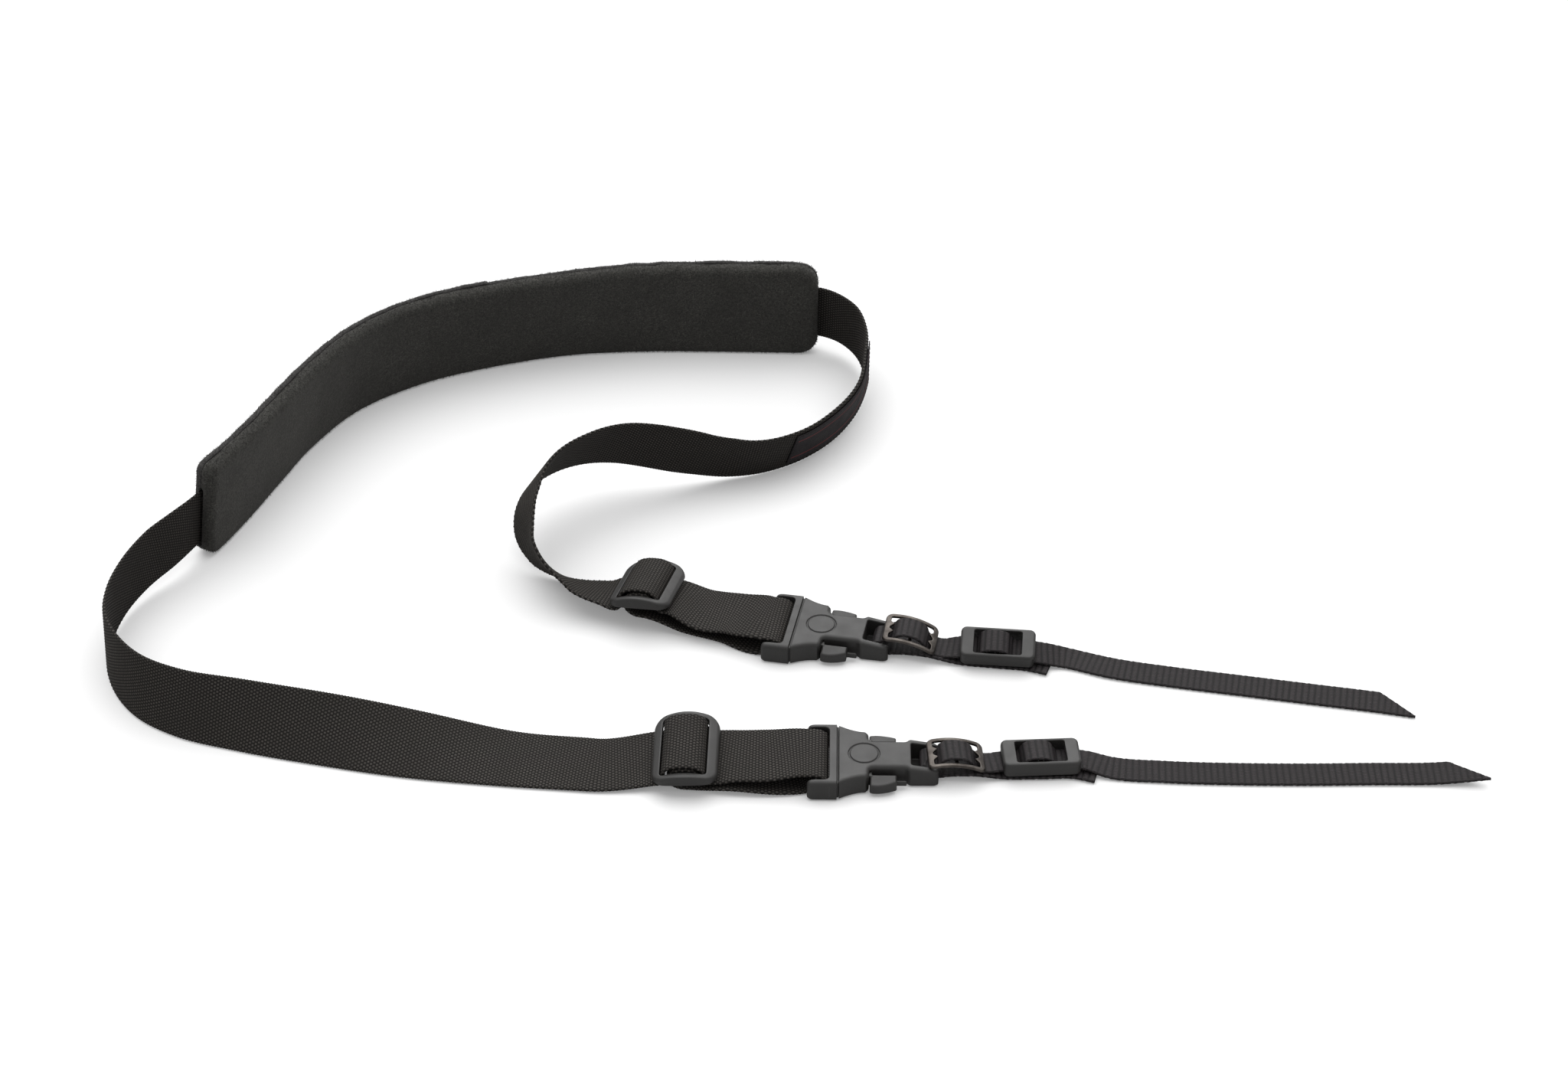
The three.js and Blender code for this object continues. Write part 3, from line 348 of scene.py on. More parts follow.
def make_woven_checks():
    """Plain weave: columns of raised yarn along the strap, every second one set half a dot aside."""
    board, given, put = shader_group(
        "woven_checks", {"Place": VECTOR, "Column": FLOAT, "Dot": FLOAT}, {"Dots": FLOAT, "Threads": FLOAT})
    place = board.add("ShaderNodeSeparateXYZ", {"Vector": given["Place"]}).outputs
    along = board.math("DIVIDE", place["X"], given["Column"])
    across = board.math("DIVIDE", place["Y"], given["Dot"])
    wave_along = board.wave("SINE", along, math.pi)
    checks = board.times(wave_along, board.wave("COSINE", across, 2 * math.pi))
    # Dots: share of raised yarn, which the wide webbing uses to paint light on its dots and shade in its gaps.
    board.put(put["Dots"], board.times(board.plus(board.math("ABSOLUTE", wave_along), checks), 0.5))
    threads = board.wave("SINE", across, THREADS_TO_A_DOT * 2 * math.pi)
    board.put(put["Threads"], board.spread(threads, -1.0, 1.0))
    return board.tree


def make_grain():
    """Fine unevenness of a surface, on the piece's own coordinates; Size is in millimetres."""
    board, given, put = shader_group("grain", {"Size": FLOAT, "Blotch": FLOAT}, {"Fine": FLOAT, "Broad": FLOAT})
    place = board.add("ShaderNodeTexCoord").outputs["Object"]
    fine = board.math("DIVIDE", 1 / MM, given["Size"])
    broad = board.math("DIVIDE", 1 / MM, given["Blotch"])
    board.put(put["Fine"], board.noise(place, fine, *FINE_NOISE))
    board.put(put["Broad"], board.noise(place, broad, *BROAD_NOISE))
    return board.tree


WOVEN_CHECKS = make_woven_checks()
GRAIN = make_grain()


class Finish(Board):
    """A material's board, with its look, its grain and its colours."""

    def __init__(self, name):
        self.look = LOOKS[name]
        self.made = bpy.data.materials.new(name)
        self.made.use_nodes = True
        super().__init__(self.made.node_tree)
        self.shader = self.tree.nodes["Principled BSDF"]
        for label, value in self.look.shader.items():
            self.shader.inputs[label].default_value = value
        self.fine, self.broad = self.grain(*self.look.grain)
        self.colours = [(*colour, 1) for colour in self.look.colours]

    def grain(self, size, blotch):
        outputs = self.add("ShaderNodeGroup", {"Size": size, "Blotch": blotch}, node_tree=GRAIN).outputs
        return outputs["Fine"], outputs["Broad"]

    def cloth_place(self):
        return self.add("ShaderNodeUVMap", uv_map="cloth").outputs["UV"]

    def paint(self, colour, worn=None):
        """Gives the surface a colour, with a second one in its worn blotches."""
        if worn:
            colour = self.mix(self.spread(self.broad, *self.look.worn), colour, worn)
        self.put(self.shader.inputs["Base Color"], colour)

    def roughen(self, value):
        self.put(self.shader.inputs["Roughness"], self.spread(value, *self.look.rough))

    def bump(self, height):
        strength, distance = self.look.bump
        values = {"Height": height, "Strength": strength, "Distance": distance * MM}
        self.put(self.shader.inputs["Normal"], self.add("ShaderNodeBump", values).outputs["Normal"])


def wide_webbing_material():
    board = Finish("wide_webbing")
    # Painted light and shade: the gap colour darkens the weave's low gaps and the dot colour lightens its raised dots.
    gap, dot, worn = board.colours
    values = {"Place": board.cloth_place(), "Column": WEBBING.column, "Dot": WEBBING.dot}
    weave = board.add("ShaderNodeGroup", values, node_tree=WOVEN_CHECKS).outputs
    # Share of painted light on the raised dots against painted shade in the gaps, with a grain of tone.
    dots = board.times(weave["Dots"], board.spread(board.fine, *board.look.tone))
    board.paint(board.mix(dots, gap, dot), worn)
    board.roughen(weave["Dots"])
    board.bump(board.plus(weave["Threads"], board.fine))
    return board.made


def narrow_webbing_material():
    board = Finish("narrow_webbing")
    # Painted light and shade: the gap colour darkens the rib grooves and the float dips, and the top colour lightens
    # the rib tops.
    gap, top, worn = board.colours
    place = board.add("ShaderNodeSeparateXYZ", {"Vector": board.cloth_place()}).outputs
    float_rate = 2 * math.pi / NARROW.float
    float_wave = board.wave("COSINE", place["Y"], float_rate)
    shifted = board.plus(place["X"], board.times(float_wave, NARROW.zigzag / 2))
    rib_wave = board.wave("SINE", shifted, math.pi / NARROW.rib)
    # Painted shade in the dips between floats.
    floats = board.spread(board.times(board.math("SIGN", rib_wave), float_wave), *board.look.floats)
    # Painted shade in the grooves between ribs.
    rib = board.spread(board.math("ABSOLUTE", rib_wave), *board.look.rib)
    tone = board.times(board.times(rib, board.spread(board.fine, *board.look.tone)), floats)
    board.paint(board.mix(tone, gap, top), worn)
    threads = board.wave("SINE", place["Y"], THREADS_TO_A_DOT * float_rate)
    board.bump(board.plus(threads, board.fine))
    return board.made


def label_material():
    board = Finish("label_cloth")
    dark, light, red = board.colours
    place = board.add("ShaderNodeSeparateXYZ", {"Vector": board.cloth_place()}).outputs
    ground = board.mix(board.spread(board.fine, *board.look.tone), dark, light)
    above, below = (board.math("ABSOLUTE", board.math("SUBTRACT", place["Y"], line)) for line in LABEL.lines)
    line = board.math("LESS_THAN", board.math("MINIMUM", above, below), LABEL.line_wide / 2)
    begun = board.math("GREATER_THAN", place["X"], LABEL.start + LABEL.line_stop)
    going = board.math("LESS_THAN", place["X"], LABEL.end - LABEL.line_stop)
    board.paint(board.mix(board.times(line, board.times(begun, going)), ground, red))
    board.roughen(board.broad)
    board.bump(board.plus(board.wave("SINE", place["X"], 2 * math.pi / LABEL.rib), board.fine))
    return board.made


def nap_material(name):
    board = Finish(name)
    dark, light = board.colours
    specks, _ = board.grain(board.look.grain[0] * SPECKS[0], SPECKS[1])
    tone = board.times(board.spread(board.fine, *board.look.tone), board.spread(specks, *board.look.specks))
    board.paint(board.mix(tone, dark, light), dark)
    board.bump(board.plus(board.fine, specks))
    return board.made


def plastic_material():
    board = Finish("moulded_plastic")
    dark, light, blotch = board.colours
    board.paint(board.mix(board.fine, dark, light), blotch)
    board.roughen(board.broad)
    board.bump(board.fine)
    return board.made


def metal_material():
    board = Finish("slide_metal")
    board.paint(board.mix(board.spread(board.broad, *board.look.tone), *board.colours))
    board.roughen(board.fine)
    board.bump(board.fine)
    return board.made


def seen_by_camera(board, output, other, seen):
    """Sends one shader to the camera and another one to everything else."""
    mixed = board.add("ShaderNodeMixShader")
    chosen = board.add("ShaderNodeLightPath").outputs["Is Camera Ray"]
    for socket, value in zip(mixed.inputs, (chosen, other.outputs[0], seen.outputs[0])):
        board.put(socket, value)
    board.put(board.tree.nodes[output].inputs["Surface"], mixed.outputs[0])


def table_material():
    """White and bright as the camera sees it, greyer in the light that it throws back on the strap."""
    board = Finish("table")
    low, high, dull = board.colours
    board.paint(board.mix(board.times(board.fine, board.broad), low, high))
    bounce = board.add("ShaderNodeBsdfDiffuse", {"Color": dull})
    seen_by_camera(board, "Material Output", bounce, board.shader)
    return board.made


FINISHES = {
    "wide_webbing": wide_webbing_material(),
    "narrow_webbing": narrow_webbing_material(),
    "label_cloth": label_material(),
    "pad_suede": nap_material("pad_suede"),
    "pad_backing": nap_material("pad_backing"),
    "moulded_plastic": plastic_material(),
    "slide_metal": metal_material(),
}


def mesh_object(name, points, faces, finish=None, uv=None, smooth=True):
    """A mesh from points in millimetres in the drawing's frame; uv is one pair for each point."""
    mesh = bpy.data.meshes.new(name)
    mesh.from_pydata(((np.asarray(points) + SHIFT) * MM).tolist(), [], [list(map(int, f)) for f in faces])
    mesh.polygons.foreach_set("use_smooth", [smooth] * len(mesh.polygons))
    if uv is not None:
        corners = np.empty(len(mesh.loops), dtype=np.int32)
        mesh.loops.foreach_get("vertex_index", corners)
        mesh.uv_layers.new(name="cloth").data.foreach_set("uv", np.asarray(uv, np.float32)[corners].ravel())
    if finish:
        mesh.materials.append(FINISHES[finish])
    mesh.update()
    return placed(f"{name}_surface", mesh)


# Lines and strips

def unit(vectors):
    return vectors / np.linalg.norm(vectors, axis=-1, keepdims=True)


def smooth_line(rows, step):
    """A smooth line through rows, sampled about every step; all columns are carried along alike.

    Its slope at a row leans towards the nearer neighbour, so that uneven rows make no waves.
    """
    rows = np.asarray(rows, float)
    rows = np.vstack([2 * rows[0] - rows[1], rows, 2 * rows[-1] - rows[-2]])
    rises = np.diff(rows, axis=0)
    gaps = np.linalg.norm(rises[:, :3], axis=1)
    samples = []
    for i in range(1, len(rows) - 2):
        before, gap, after, rise = gaps[i - 1], gaps[i], gaps[i + 1], rises[i]
        leave = (rises[i - 1] * gap * gap / before + rise * before) / (before + gap)
        arrive = (rise * after + rises[i + 1] * gap * gap / after) / (gap + after)
        count = max(1, int(gap / step + 0.5))
        t = (np.arange(count) / count)[:, None]
        samples.append(rows[i] + t * (leave + t * (3 * rise - 2 * leave - arrive + t * (leave + arrive - 2 * rise))))
    return np.vstack([*samples, rows[-2:-1]])


def directions(points):
    after = np.vstack([points[1:], points[-1:]])
    before = np.vstack([points[:1], points[:-1]])
    return unit(after - before)


def level_left(travel):
    return unit(np.column_stack([-travel[:, 1], travel[:, 0], np.zeros(len(travel))]))


def leaning(travel, degrees):
    """From the foot of standing cloth to its upper edge, square to its travel."""
    angle = np.radians(degrees)[:, None]
    up = np.cos(angle) * np.array([0, 0, 1.0]) + np.sin(angle) * level_left(travel)
    return unit(up - travel * (up * travel).sum(1, keepdims=True))


def place_of(x, y, z, yaw, pitch, roll):
    """A piece's turning matrix and origin."""
    a, b, c = np.radians([yaw, -pitch, roll])
    about_z = np.array([[math.cos(a), -math.sin(a), 0], [math.sin(a), math.cos(a), 0], [0, 0, 1]])
    about_y = np.array([[math.cos(b), 0, math.sin(b)], [0, 1, 0], [-math.sin(b), 0, math.cos(b)]])
    about_x = np.array([[1, 0, 0], [0, math.cos(c), -math.sin(c)], [0, math.sin(c), math.cos(c)]])
    return about_z @ about_y @ about_x, np.array([x, y, z])


def thread_rows(table, places, side):
    rows = []
    for piece, spots in table:
        turn, origin = places[piece]
        across = turn @ np.array([0, side, 0])
        for along, high, *aside in spots:
            rows.append(np.concatenate([turn @ np.array([along, sum(aside), high], float) + origin, across]))
    return np.array(rows)


def walked(points):
    """How far along a line each of its points is."""
    return np.concatenate([[0], np.cumsum(np.linalg.norm(np.diff(points, axis=0), axis=1))])


def stations(rows, spacing):
    """Even stations along a strip whose rows hold its centre and the direction across it."""
    line = smooth_line(rows, spacing / 2)
    lengths = walked(line[:, :3])
    along = np.arange(0, lengths[-1], spacing)
    at = np.column_stack([np.interp(along, lengths, column) for column in line.T])
    centre, across = at[:, :3], at[:, 3:]
    travel = directions(centre)
    across = unit(across - travel * (across * travel).sum(1, keepdims=True))
    return {"along": along, "centre": centre, "across": across, "face": np.cross(travel, across)}


def cut_stations(line, first, last):
    keep = (line["along"] >= first) & (line["along"] <= last)
    return {name: values[keep] for name, values in line.items()}


def strip_object(name, line, across, high, finish):
    """A closed strip; across and high give each station's ring of section points."""
    points = (line["centre"][:, None] + line["across"][:, None] * across[..., None]
              + line["face"][:, None] * high[..., None])
    count, ring = across.shape
    here = np.arange(count * ring).reshape(count, ring)
    a, b = here[:-1], np.roll(here, -1, axis=1)[:-1]
    c, d = np.roll(here, -1, axis=1)[1:], here[1:]
    sides = np.stack([a, b, c, d], axis=-1).reshape(-1, 4)
    uv = np.stack([np.broadcast_to(line["along"][:, None], across.shape), across], axis=-1).reshape(-1, 2)
    faces = [*sides, here[0][::-1], here[-1]]
    return mesh_object(name, points.reshape(-1, 3), faces, finish, uv)


def wide_line(strand, places):
    """The wide webbing's rows from inside the pad to the end of its loop on the slider."""
    rows = smooth_line(PAD_ROWS, PAD.coarse_step)
    if strand["pad_end"] == "start":
        end, following, lean = rows[0], rows[1], -rows[0][3]
    else:
        end, following, lean = rows[-1], rows[-2], rows[-1][3]
    inward = unit((following - end)[:2])
    tucked = [(end[0] + inward[0] * depth, end[1] + inward[1] * depth, PAD.webbing_low, lean)
              for depth in (PAD.tuck, 0)]
    foot = smooth_line(tucked + strand["run"], WEBBING.free_step)
    up = leaning(directions(foot[:, :3]), foot[:, 3])
    free = np.hstack([foot[:, :3] + up * WEBBING.width / 2, up])
    return np.vstack([free, thread_rows(WIDE_THREADING, places, strand["side"])])


def wide_webbing(name, line):
    """Checked weave in relief on both faces and a scalloped selvedge."""
    w = WEBBING
    half, thick = w.width / 2, w.thick / 2
    count = int((half - w.selvedge) / (w.dot / 2))
    v = np.arange(-count, count + 1) * w.dot / 2
    s = line["along"][:, None]
    column = np.sin(math.pi * s / w.column)
    raised = 0.5 * (np.abs(column) + column * np.cos(2 * math.pi * v / w.dot))
    edge = half - w.scallop * (1 - np.abs(column))
    shoulder = edge - w.shoulder
    top = thick - w.relief * (1 - raised)
    flat = np.broadcast_to(v, raised.shape)
    across = np.hstack([-edge, -shoulder, flat, shoulder, edge, shoulder, flat[:, ::-1], -shoulder])
    low = np.full_like(s, -thick * w.shoulder_high)
    high = np.hstack([0 * s, low, -top, low, 0 * s, -low, top[:, ::-1], -low])
    return strip_object(name, line, across, high, "wide_webbing")


def narrow_webbing(name, line):
    """Cross ribs of short floats, and a tail cut off at a slant."""
    n = NARROW
    thick = n.thick / 2
    s = line["along"][:, None]
    share = np.linspace(0, 1, n.columns)
    cut = np.clip((line["along"][-1] - s) / n.tip_length, 0, 1)
    scallop = n.scallop * (0.5 - 0.5 * np.cos(2 * math.pi * s / n.rib))
    edge_low = -n.width / 2 + scallop
    edge_high = -n.width / 2 + n.tip_width + (n.width - n.tip_width) * cut - scallop
    margin = np.minimum(n.margin, (edge_high - edge_low) / 4)
    flat = edge_low + margin + (edge_high - edge_low - 2 * margin) * share
    float_wave = np.cos(2 * math.pi * flat / n.float)
    wave = np.sin(math.pi * (s + n.zigzag / 2 * float_wave) / n.rib)
    floats = 0.5 * n.float_relief * (float_wave * np.sign(wave) - 1)
    top = thick - n.relief * (1 - np.abs(wave) ** n.rib_power) + floats
    across = np.hstack([edge_low, flat, edge_high, flat[:, ::-1]])
    high = np.hstack([0 * s, -top, 0 * s, top[:, ::-1]])
    return strip_object(name, line, across, high, "narrow_webbing")


def label_patch(line):
    """A flat woven patch on the outer face of the rear webbing."""
    patch = cut_stations(line, LABEL.start, LABEL.end)
    patch["centre"] = patch["centre"] + patch["across"] * LABEL.drop
    half = LABEL.width / 2
    v = np.linspace(-half + LABEL.rim, half - LABEL.rim, LABEL.columns)
    offset = -(WEBBING.thick / 2 + LABEL.lift + LABEL.thick / 2)
    shape = np.concatenate([[-half], v, [half], v[::-1]])
    thick = LABEL.thick / 2
    level = np.concatenate([[0], np.full(len(v), -thick), [0], np.full(len(v), thick)]) + offset
    size = (len(patch["along"]), len(shape))
    across, high = np.broadcast_to(shape, size), np.broadcast_to(level, size)
    return strip_object("label_patch", patch, across, high, "label_cloth")


# The pad

def uneven(points, waves):
    """Soft noise at points, as the sum of waves of some lengths and heights."""
    return sum(high * np.array([noise.noise(Vector(p)) for p in np.asarray(points) / wave]) for wave, high in waves)


def corner_cut(radius, distance):
    """How far a rounded corner draws the outline in at a distance from the end."""
    away = np.minimum(radius, distance)
    return radius - np.sqrt(radius ** 2 - (radius - away) ** 2)


def pad_layer(name, face, seam, finish, seed):
    """One layer from its outer face to the seam, both as depths behind the pad's middle line."""
    p = PAD
    line = smooth_line(PAD_ROWS, p.fine_step)
    lengths = walked(line[:, :3])
    total = lengths[-1]
    edge = p.roll if finish == "pad_suede" else p.edge
    rounding = edge * (1 - np.cos(np.radians(np.linspace(0, 90, p.round_steps))))
    ends = np.concatenate([rounding, np.linspace(edge, p.corner + 1, p.end_rows)[1:]])
    middle = np.arange(ends[-1] + p.cell, total - ends[-1], p.cell)
    s = np.concatenate([ends, middle, total - ends[::-1]])
    inside = np.linspace(edge, p.height - edge, p.rows)[1:-1]
    h = np.concatenate([rounding, inside, p.height - rounding[::-1]]) / p.height
    x, y, z, lean = (np.interp(s, lengths, column) for column in line.T)
    foot = np.column_stack([x, y, z])
    travel = unit(np.column_stack([np.interp(s, lengths, t) for t in directions(line[:, :3]).T]))
    up, left = leaning(travel, lean), level_left(travel)
    depth = unit(left - up * (left * up).sum(1, keepdims=True))
    foot[:, 2] = (p.front + p.seam / 2 - p.edge) * depth[:, 2]
    if finish == "pad_backing":
        before = p.step_at - s
        upper_shift = np.where(before > 0, np.exp(-(before / p.step_long) ** 2), -1) * p.step_drop / 2
        upper_shift = upper_shift * np.exp(-(before / (p.step_fade * p.step_long)) ** 2)
    else:
        upper_shift = 0 * s
    top_corner = np.where(s < total / 2, p.start_corner, p.corner)
    from_end = np.minimum(s, total - s)
    low = corner_cut(p.corner, from_end)
    height = low[:, None] + h * (p.height - low - corner_cut(top_corner, from_end))[:, None]
    along = np.broadcast_to(s[:, None], height.shape)
    corner = np.where(height > p.height / 2, top_corner[:, None], p.corner)
    side = np.abs(along - total / 2) - (total / 2 - corner)
    tall = np.abs(height - p.height / 2) - (p.height / 2 - corner)
    within = corner - np.hypot(np.maximum(side, 0), np.maximum(tall, 0)) - np.minimum(np.maximum(side, tall), 0)
    within = np.clip(within, 0, edge)
    inset = edge - np.sqrt(np.maximum(edge ** 2 - (edge - within) ** 2, 0))
    outward = math.copysign(1, face - seam)
    flat = np.stack([along, height], axis=-1).reshape(-1, 2)
    places = np.column_stack([flat, np.full(len(flat), seed)])
    wave = uneven(places, FACE_WAVES).reshape(height.shape)
    upper = np.clip((height - p.height / 2) / (p.height / 2), 0, 1) ** p.rim_power
    walk = np.column_stack([s, 0 * s, 0 * s + seed])
    height = height + upper * (uneven(walk, RIM_WAVES) + upper_shift)[:, None]
    outer = face - outward * inset + outward * wave * np.clip(within / edge, 0, 1)
    inner_face = seam + outward * webbing_pocket(along, height, total, abs(seam))

    def spread(depths):
        return (foot[:, None] + up[:, None] * height[..., None] + depth[:, None] * depths[..., None]).reshape(-1, 3)

    points = np.vstack([spread(outer), spread(inner_face)])
    rows, columns = height.shape
    grid = np.arange(rows * columns).reshape(rows, columns)
    a, b, c, d = grid[:-1, :-1], grid[1:, :-1], grid[1:, 1:], grid[:-1, 1:]
    cells = np.stack([a, b, c, d], axis=-1).reshape(-1, 4)
    rim = np.concatenate([grid[:-1, 0], grid[-1, :-1], grid[:0:-1, -1], grid[0, :0:-1]])
    wall = np.stack([np.roll(rim, -1), rim, rim + grid.size, np.roll(rim, -1) + grid.size], axis=-1)
    faces = np.vstack([cells, cells[:, ::-1] + grid.size, wall])
    if outward > 0:
        faces = faces[:, ::-1]
    layer = mesh_object(name, points, faces, finish)
    edge_on = np.zeros(grid.size)
    edge_on[rim] = 1
    near_rim = np.clip(1 - within / NAP.rim_wide, 0, 1).ravel()
    share = NAP.rim * np.concatenate([near_rim, edge_on])
    layer.data.attributes.new("nap", "FLOAT", "POINT").data.foreach_set("value", share.astype(np.float32))
    return layer


def webbing_pocket(along, height, total, seam):
    """How far the layer is hollowed for the webbing that is sewn in at both ends."""
    p = PAD
    end = np.minimum(along, total - along)
    deep = np.clip((p.pocket_length - end) / p.pocket_slope, 0, 1)
    low = p.webbing_low - p.pocket_play
    high = p.webbing_low + WEBBING.width + p.pocket_play
    across = np.clip(np.minimum(height - low, high - height) + p.pocket_edge, 0, 1)
    return (WEBBING.thick / 2 + CLEARANCE - seam) * deep * across


# Fibres and stitches

def random_between(board, kind, low, high, seed):
    node = board.add("FunctionNodeRandomValue", data_type=kind)
    wanted = {"FLOAT": "VALUE", "FLOAT_VECTOR": "VECTOR"}[kind]
    for label, value in (("Min", low), ("Max", high)):
        board.put(next(s for s in node.inputs if s.name == label and s.type == wanted), value)
    board.put(node.inputs["Seed"], seed)
    return next(s for s in node.outputs if s.type == wanted)


def painted(board, last, given, put):
    """Ends a tree with the finish that it is given."""
    done = board.add("GeometryNodeSetMaterial", {"Geometry": last.outputs["Geometry"], "Material": given["Finish"]})
    board.put(put["Geometry"], done.outputs["Geometry"])
    return board.tree


def make_nap_fibres():
    """Short fibres that stand on a layer where its nap attribute says how many."""
    board, given, put = geometry_tree(
        "nap_fibres", {"Length": FLOAT, "Radius": FLOAT, "Tilt": FLOAT, "Seed": INTEGER})
    named = board.add("GeometryNodeInputNamedAttribute", data_type="FLOAT")
    named.inputs["Name"].default_value = "nap"
    density = board.math("DIVIDE", named.outputs["Attribute"], MM * MM)
    points = board.add("GeometryNodeDistributePointsOnFaces", {
        "Mesh": given["Geometry"], "Density": density, "Seed": given["Seed"]})
    fibre = board.add("GeometryNodeMeshCone", {
        "Vertices": NAP.sides, "Radius Top": 0.0, "Radius Bottom": given["Radius"], "Depth": given["Length"]})
    back = board.times(given["Tilt"], -1.0)
    low = board.add("ShaderNodeCombineXYZ", {"X": back, "Y": back, "Z": -math.pi}).outputs[0]
    high = board.add("ShaderNodeCombineXYZ", {"X": given["Tilt"], "Y": given["Tilt"], "Z": math.pi}).outputs[0]
    lean = board.add("FunctionNodeEulerToRotation", {
        "Euler": random_between(board, "FLOAT_VECTOR", low, high, given["Seed"])}).outputs[0]
    turned = board.add("FunctionNodeRotateRotation", {
        "Rotation": points.outputs["Rotation"], "Rotate By": lean}, rotation_space="LOCAL").outputs[0]
    size = random_between(board, "FLOAT", NAP.least, NAP.most, given["Seed"])
    stood_up = board.add("GeometryNodeInstanceOnPoints", {
        "Points": points.outputs["Points"], "Instance": fibre.outputs["Mesh"], "Rotation": turned, "Scale": size})
    real = board.add("GeometryNodeRealizeInstances", {"Geometry": stood_up.outputs["Instances"]})
    return painted(board, real, given, put)


def make_stitches():
    """Short thread stitches laid end to end along a line, with a little gap between them."""
    board, given, put = geometry_tree("stitches", {"Pitch": FLOAT, "Thread": FLOAT, "Length": FLOAT})
    path = board.add("GeometryNodeMeshToCurve", {"Mesh": given["Geometry"]}).outputs["Curve"]
    points = board.add("GeometryNodeCurveToPoints", {"Curve": path, "Length": given["Pitch"]}, mode="LENGTH")
    bar = board.add("GeometryNodeMeshUVSphere", {"Segments": STITCH.segments, "Rings": STITCH.rings, "Radius": 0.5})
    shape = board.add("ShaderNodeCombineXYZ", {
        "X": given["Thread"], "Y": given["Thread"], "Z": given["Length"]}).outputs[0]
    laid = board.add("GeometryNodeInstanceOnPoints", {
        "Points": points.outputs["Points"], "Instance": bar.outputs["Mesh"], "Rotation": points.outputs["Rotation"],
        "Scale": shape})
    real = board.add("GeometryNodeRealizeInstances", {"Geometry": laid.outputs["Instances"]})
    smooth = board.add("GeometryNodeSetShadeSmooth", {"Geometry": real.outputs["Geometry"]})
    return painted(board, smooth, given, put)


def evaluated_mesh(piece):
    """The mesh that the piece's modifiers make; they are removed."""
    depsgraph = bpy.context.evaluated_depsgraph_get()
    mesh = bpy.data.meshes.new_from_object(piece.evaluated_get(depsgraph))
    piece.modifiers.clear()
    return mesh


def grown(name, source, tree, values):
    """A new mesh object of what the tree makes from source."""
    maker = source.modifiers.new(name, "NODES")
    maker.node_group = tree
    for item in tree.interface.items_tree:
        if item.in_out == "INPUT" and item.name in values:
            maker[item.identifier] = values[item.name]
    mesh = evaluated_mesh(source)
    mesh.name = name
    return placed(name, mesh)


NAP_FIBRES = make_nap_fibres()
STITCHES = make_stitches()


def nap_on(layer, name, finish, seed):
    values = {"Length": NAP.length * MM, "Radius": NAP.radius * MM, "Tilt": NAP.tilt, "Seed": seed,
              "Finish": FINISHES[finish]}
    return grown(name, layer, NAP_FIBRES, values)


def label_stitches(line):
    """A row of stitches round the label, a little inside its edge."""
    inset = STITCH.inset
    patch = cut_stations(line, LABEL.start + inset, LABEL.end - inset)
    half = LABEL.width / 2 - inset
    level = -(WEBBING.thick / 2 + LABEL.lift + LABEL.thick + STITCH.sunk)

    def spots(pick, v):
        middle = patch["centre"][pick] + patch["across"][pick] * (LABEL.drop + v)
        return middle + patch["face"][pick] * level

    last = len(patch["along"]) - 1
    rows = [spots(i, half) for i in range(last + 1)]
    rows += [spots(last, v) for v in np.linspace(half, -half, STITCH.end_steps)[1:-1]]
    rows += [spots(i, -half) for i in range(last, -1, -1)]
    rows += [spots(0, v) for v in np.linspace(-half, half, STITCH.end_steps)[1:-1]]
    mesh = bpy.data.meshes.new("stitch_line")
    edges = [(i, (i + 1) % len(rows)) for i in range(len(rows))]
    mesh.from_pydata(((np.array(rows) + SHIFT) * MM).tolist(), edges, [])
    path = placed("stitch_line", mesh)
    values = {"Pitch": STITCH.pitch * MM, "Thread": STITCH.thread * MM, "Length": STITCH.length * MM,
              "Finish": FINISHES["label_cloth"]}
    made = grown("label_stitches", path, STITCHES, values)
    bpy.data.objects.remove(path)
    return made


# Moulded and stamped pieces, drawn as distance fields

class Block:
    """A box of even grid points, and the mesh of a field's zero surface in it."""

    def __init__(self, low, high, step):
        self.step = step
        axes = [np.arange(a - step, b + 2 * step, step, dtype=np.float32) for a, b in zip(low, high)]
        self.x, self.y, self.z = axes[0][:, None, None], axes[1][None, :, None], axes[2][None, None, :]
        self.low = np.array([axis[0] for axis in axes])

    def plan(self, corners, mirrored=False):
        y = np.abs(self.y) if mirrored else self.y
        return polygon_distance(corners, self.x[:, :, 0], y[:, :, 0])[:, :, None]

    def side_view(self, corners):
        return polygon_distance(corners, self.x[:, 0, :], self.z[0, :, :])[:, None, :]

    def surface(self, field):
        """Points and outward quads where the field changes sign, one point in each crossed cell."""
        cells = np.array(field.shape) - 1
        weight = np.zeros(cells.prod())
        total = np.zeros((3, cells.prod()))
        quads = []
        for axis in range(3):
            u, v = (axis + 1) % 3, (axis + 2) % 3
            first = np.take(field, range(cells[axis]), axis)
            second = np.take(field, range(1, cells[axis] + 1), axis)
            spots = np.argwhere((first < 0) != (second < 0))
            spots = spots[((spots[:, [u, v]] > 0) & (spots[:, [u, v]] < cells[[u, v]])).all(1)]
            here, there = first[tuple(spots.T)], second[tuple(spots.T)]
            places = spots.astype(float)
            places[:, axis] += here / (here - there)
            around = []
            for du, dv in ((1, 1), (0, 1), (0, 0), (1, 0)):
                cell = spots.copy()
                cell[:, u] -= du
                cell[:, v] -= dv
                number = np.ravel_multi_index(cell.T, cells)
                around.append(number)
                weight += np.bincount(number, minlength=len(weight))
                for k in range(3):
                    total[k] += np.bincount(number, places[:, k], minlength=len(weight))
            quad = np.stack(around, axis=-1)
            quads.append(np.where((here < 0)[:, None], quad, quad[:, ::-1]))
        used = np.flatnonzero(weight)
        order = np.zeros(len(weight), dtype=np.int64)
        order[used] = np.arange(len(used))
        points = (total[:, used] / weight[used]).T * self.step + self.low
        return points, order[np.vstack(quads)]


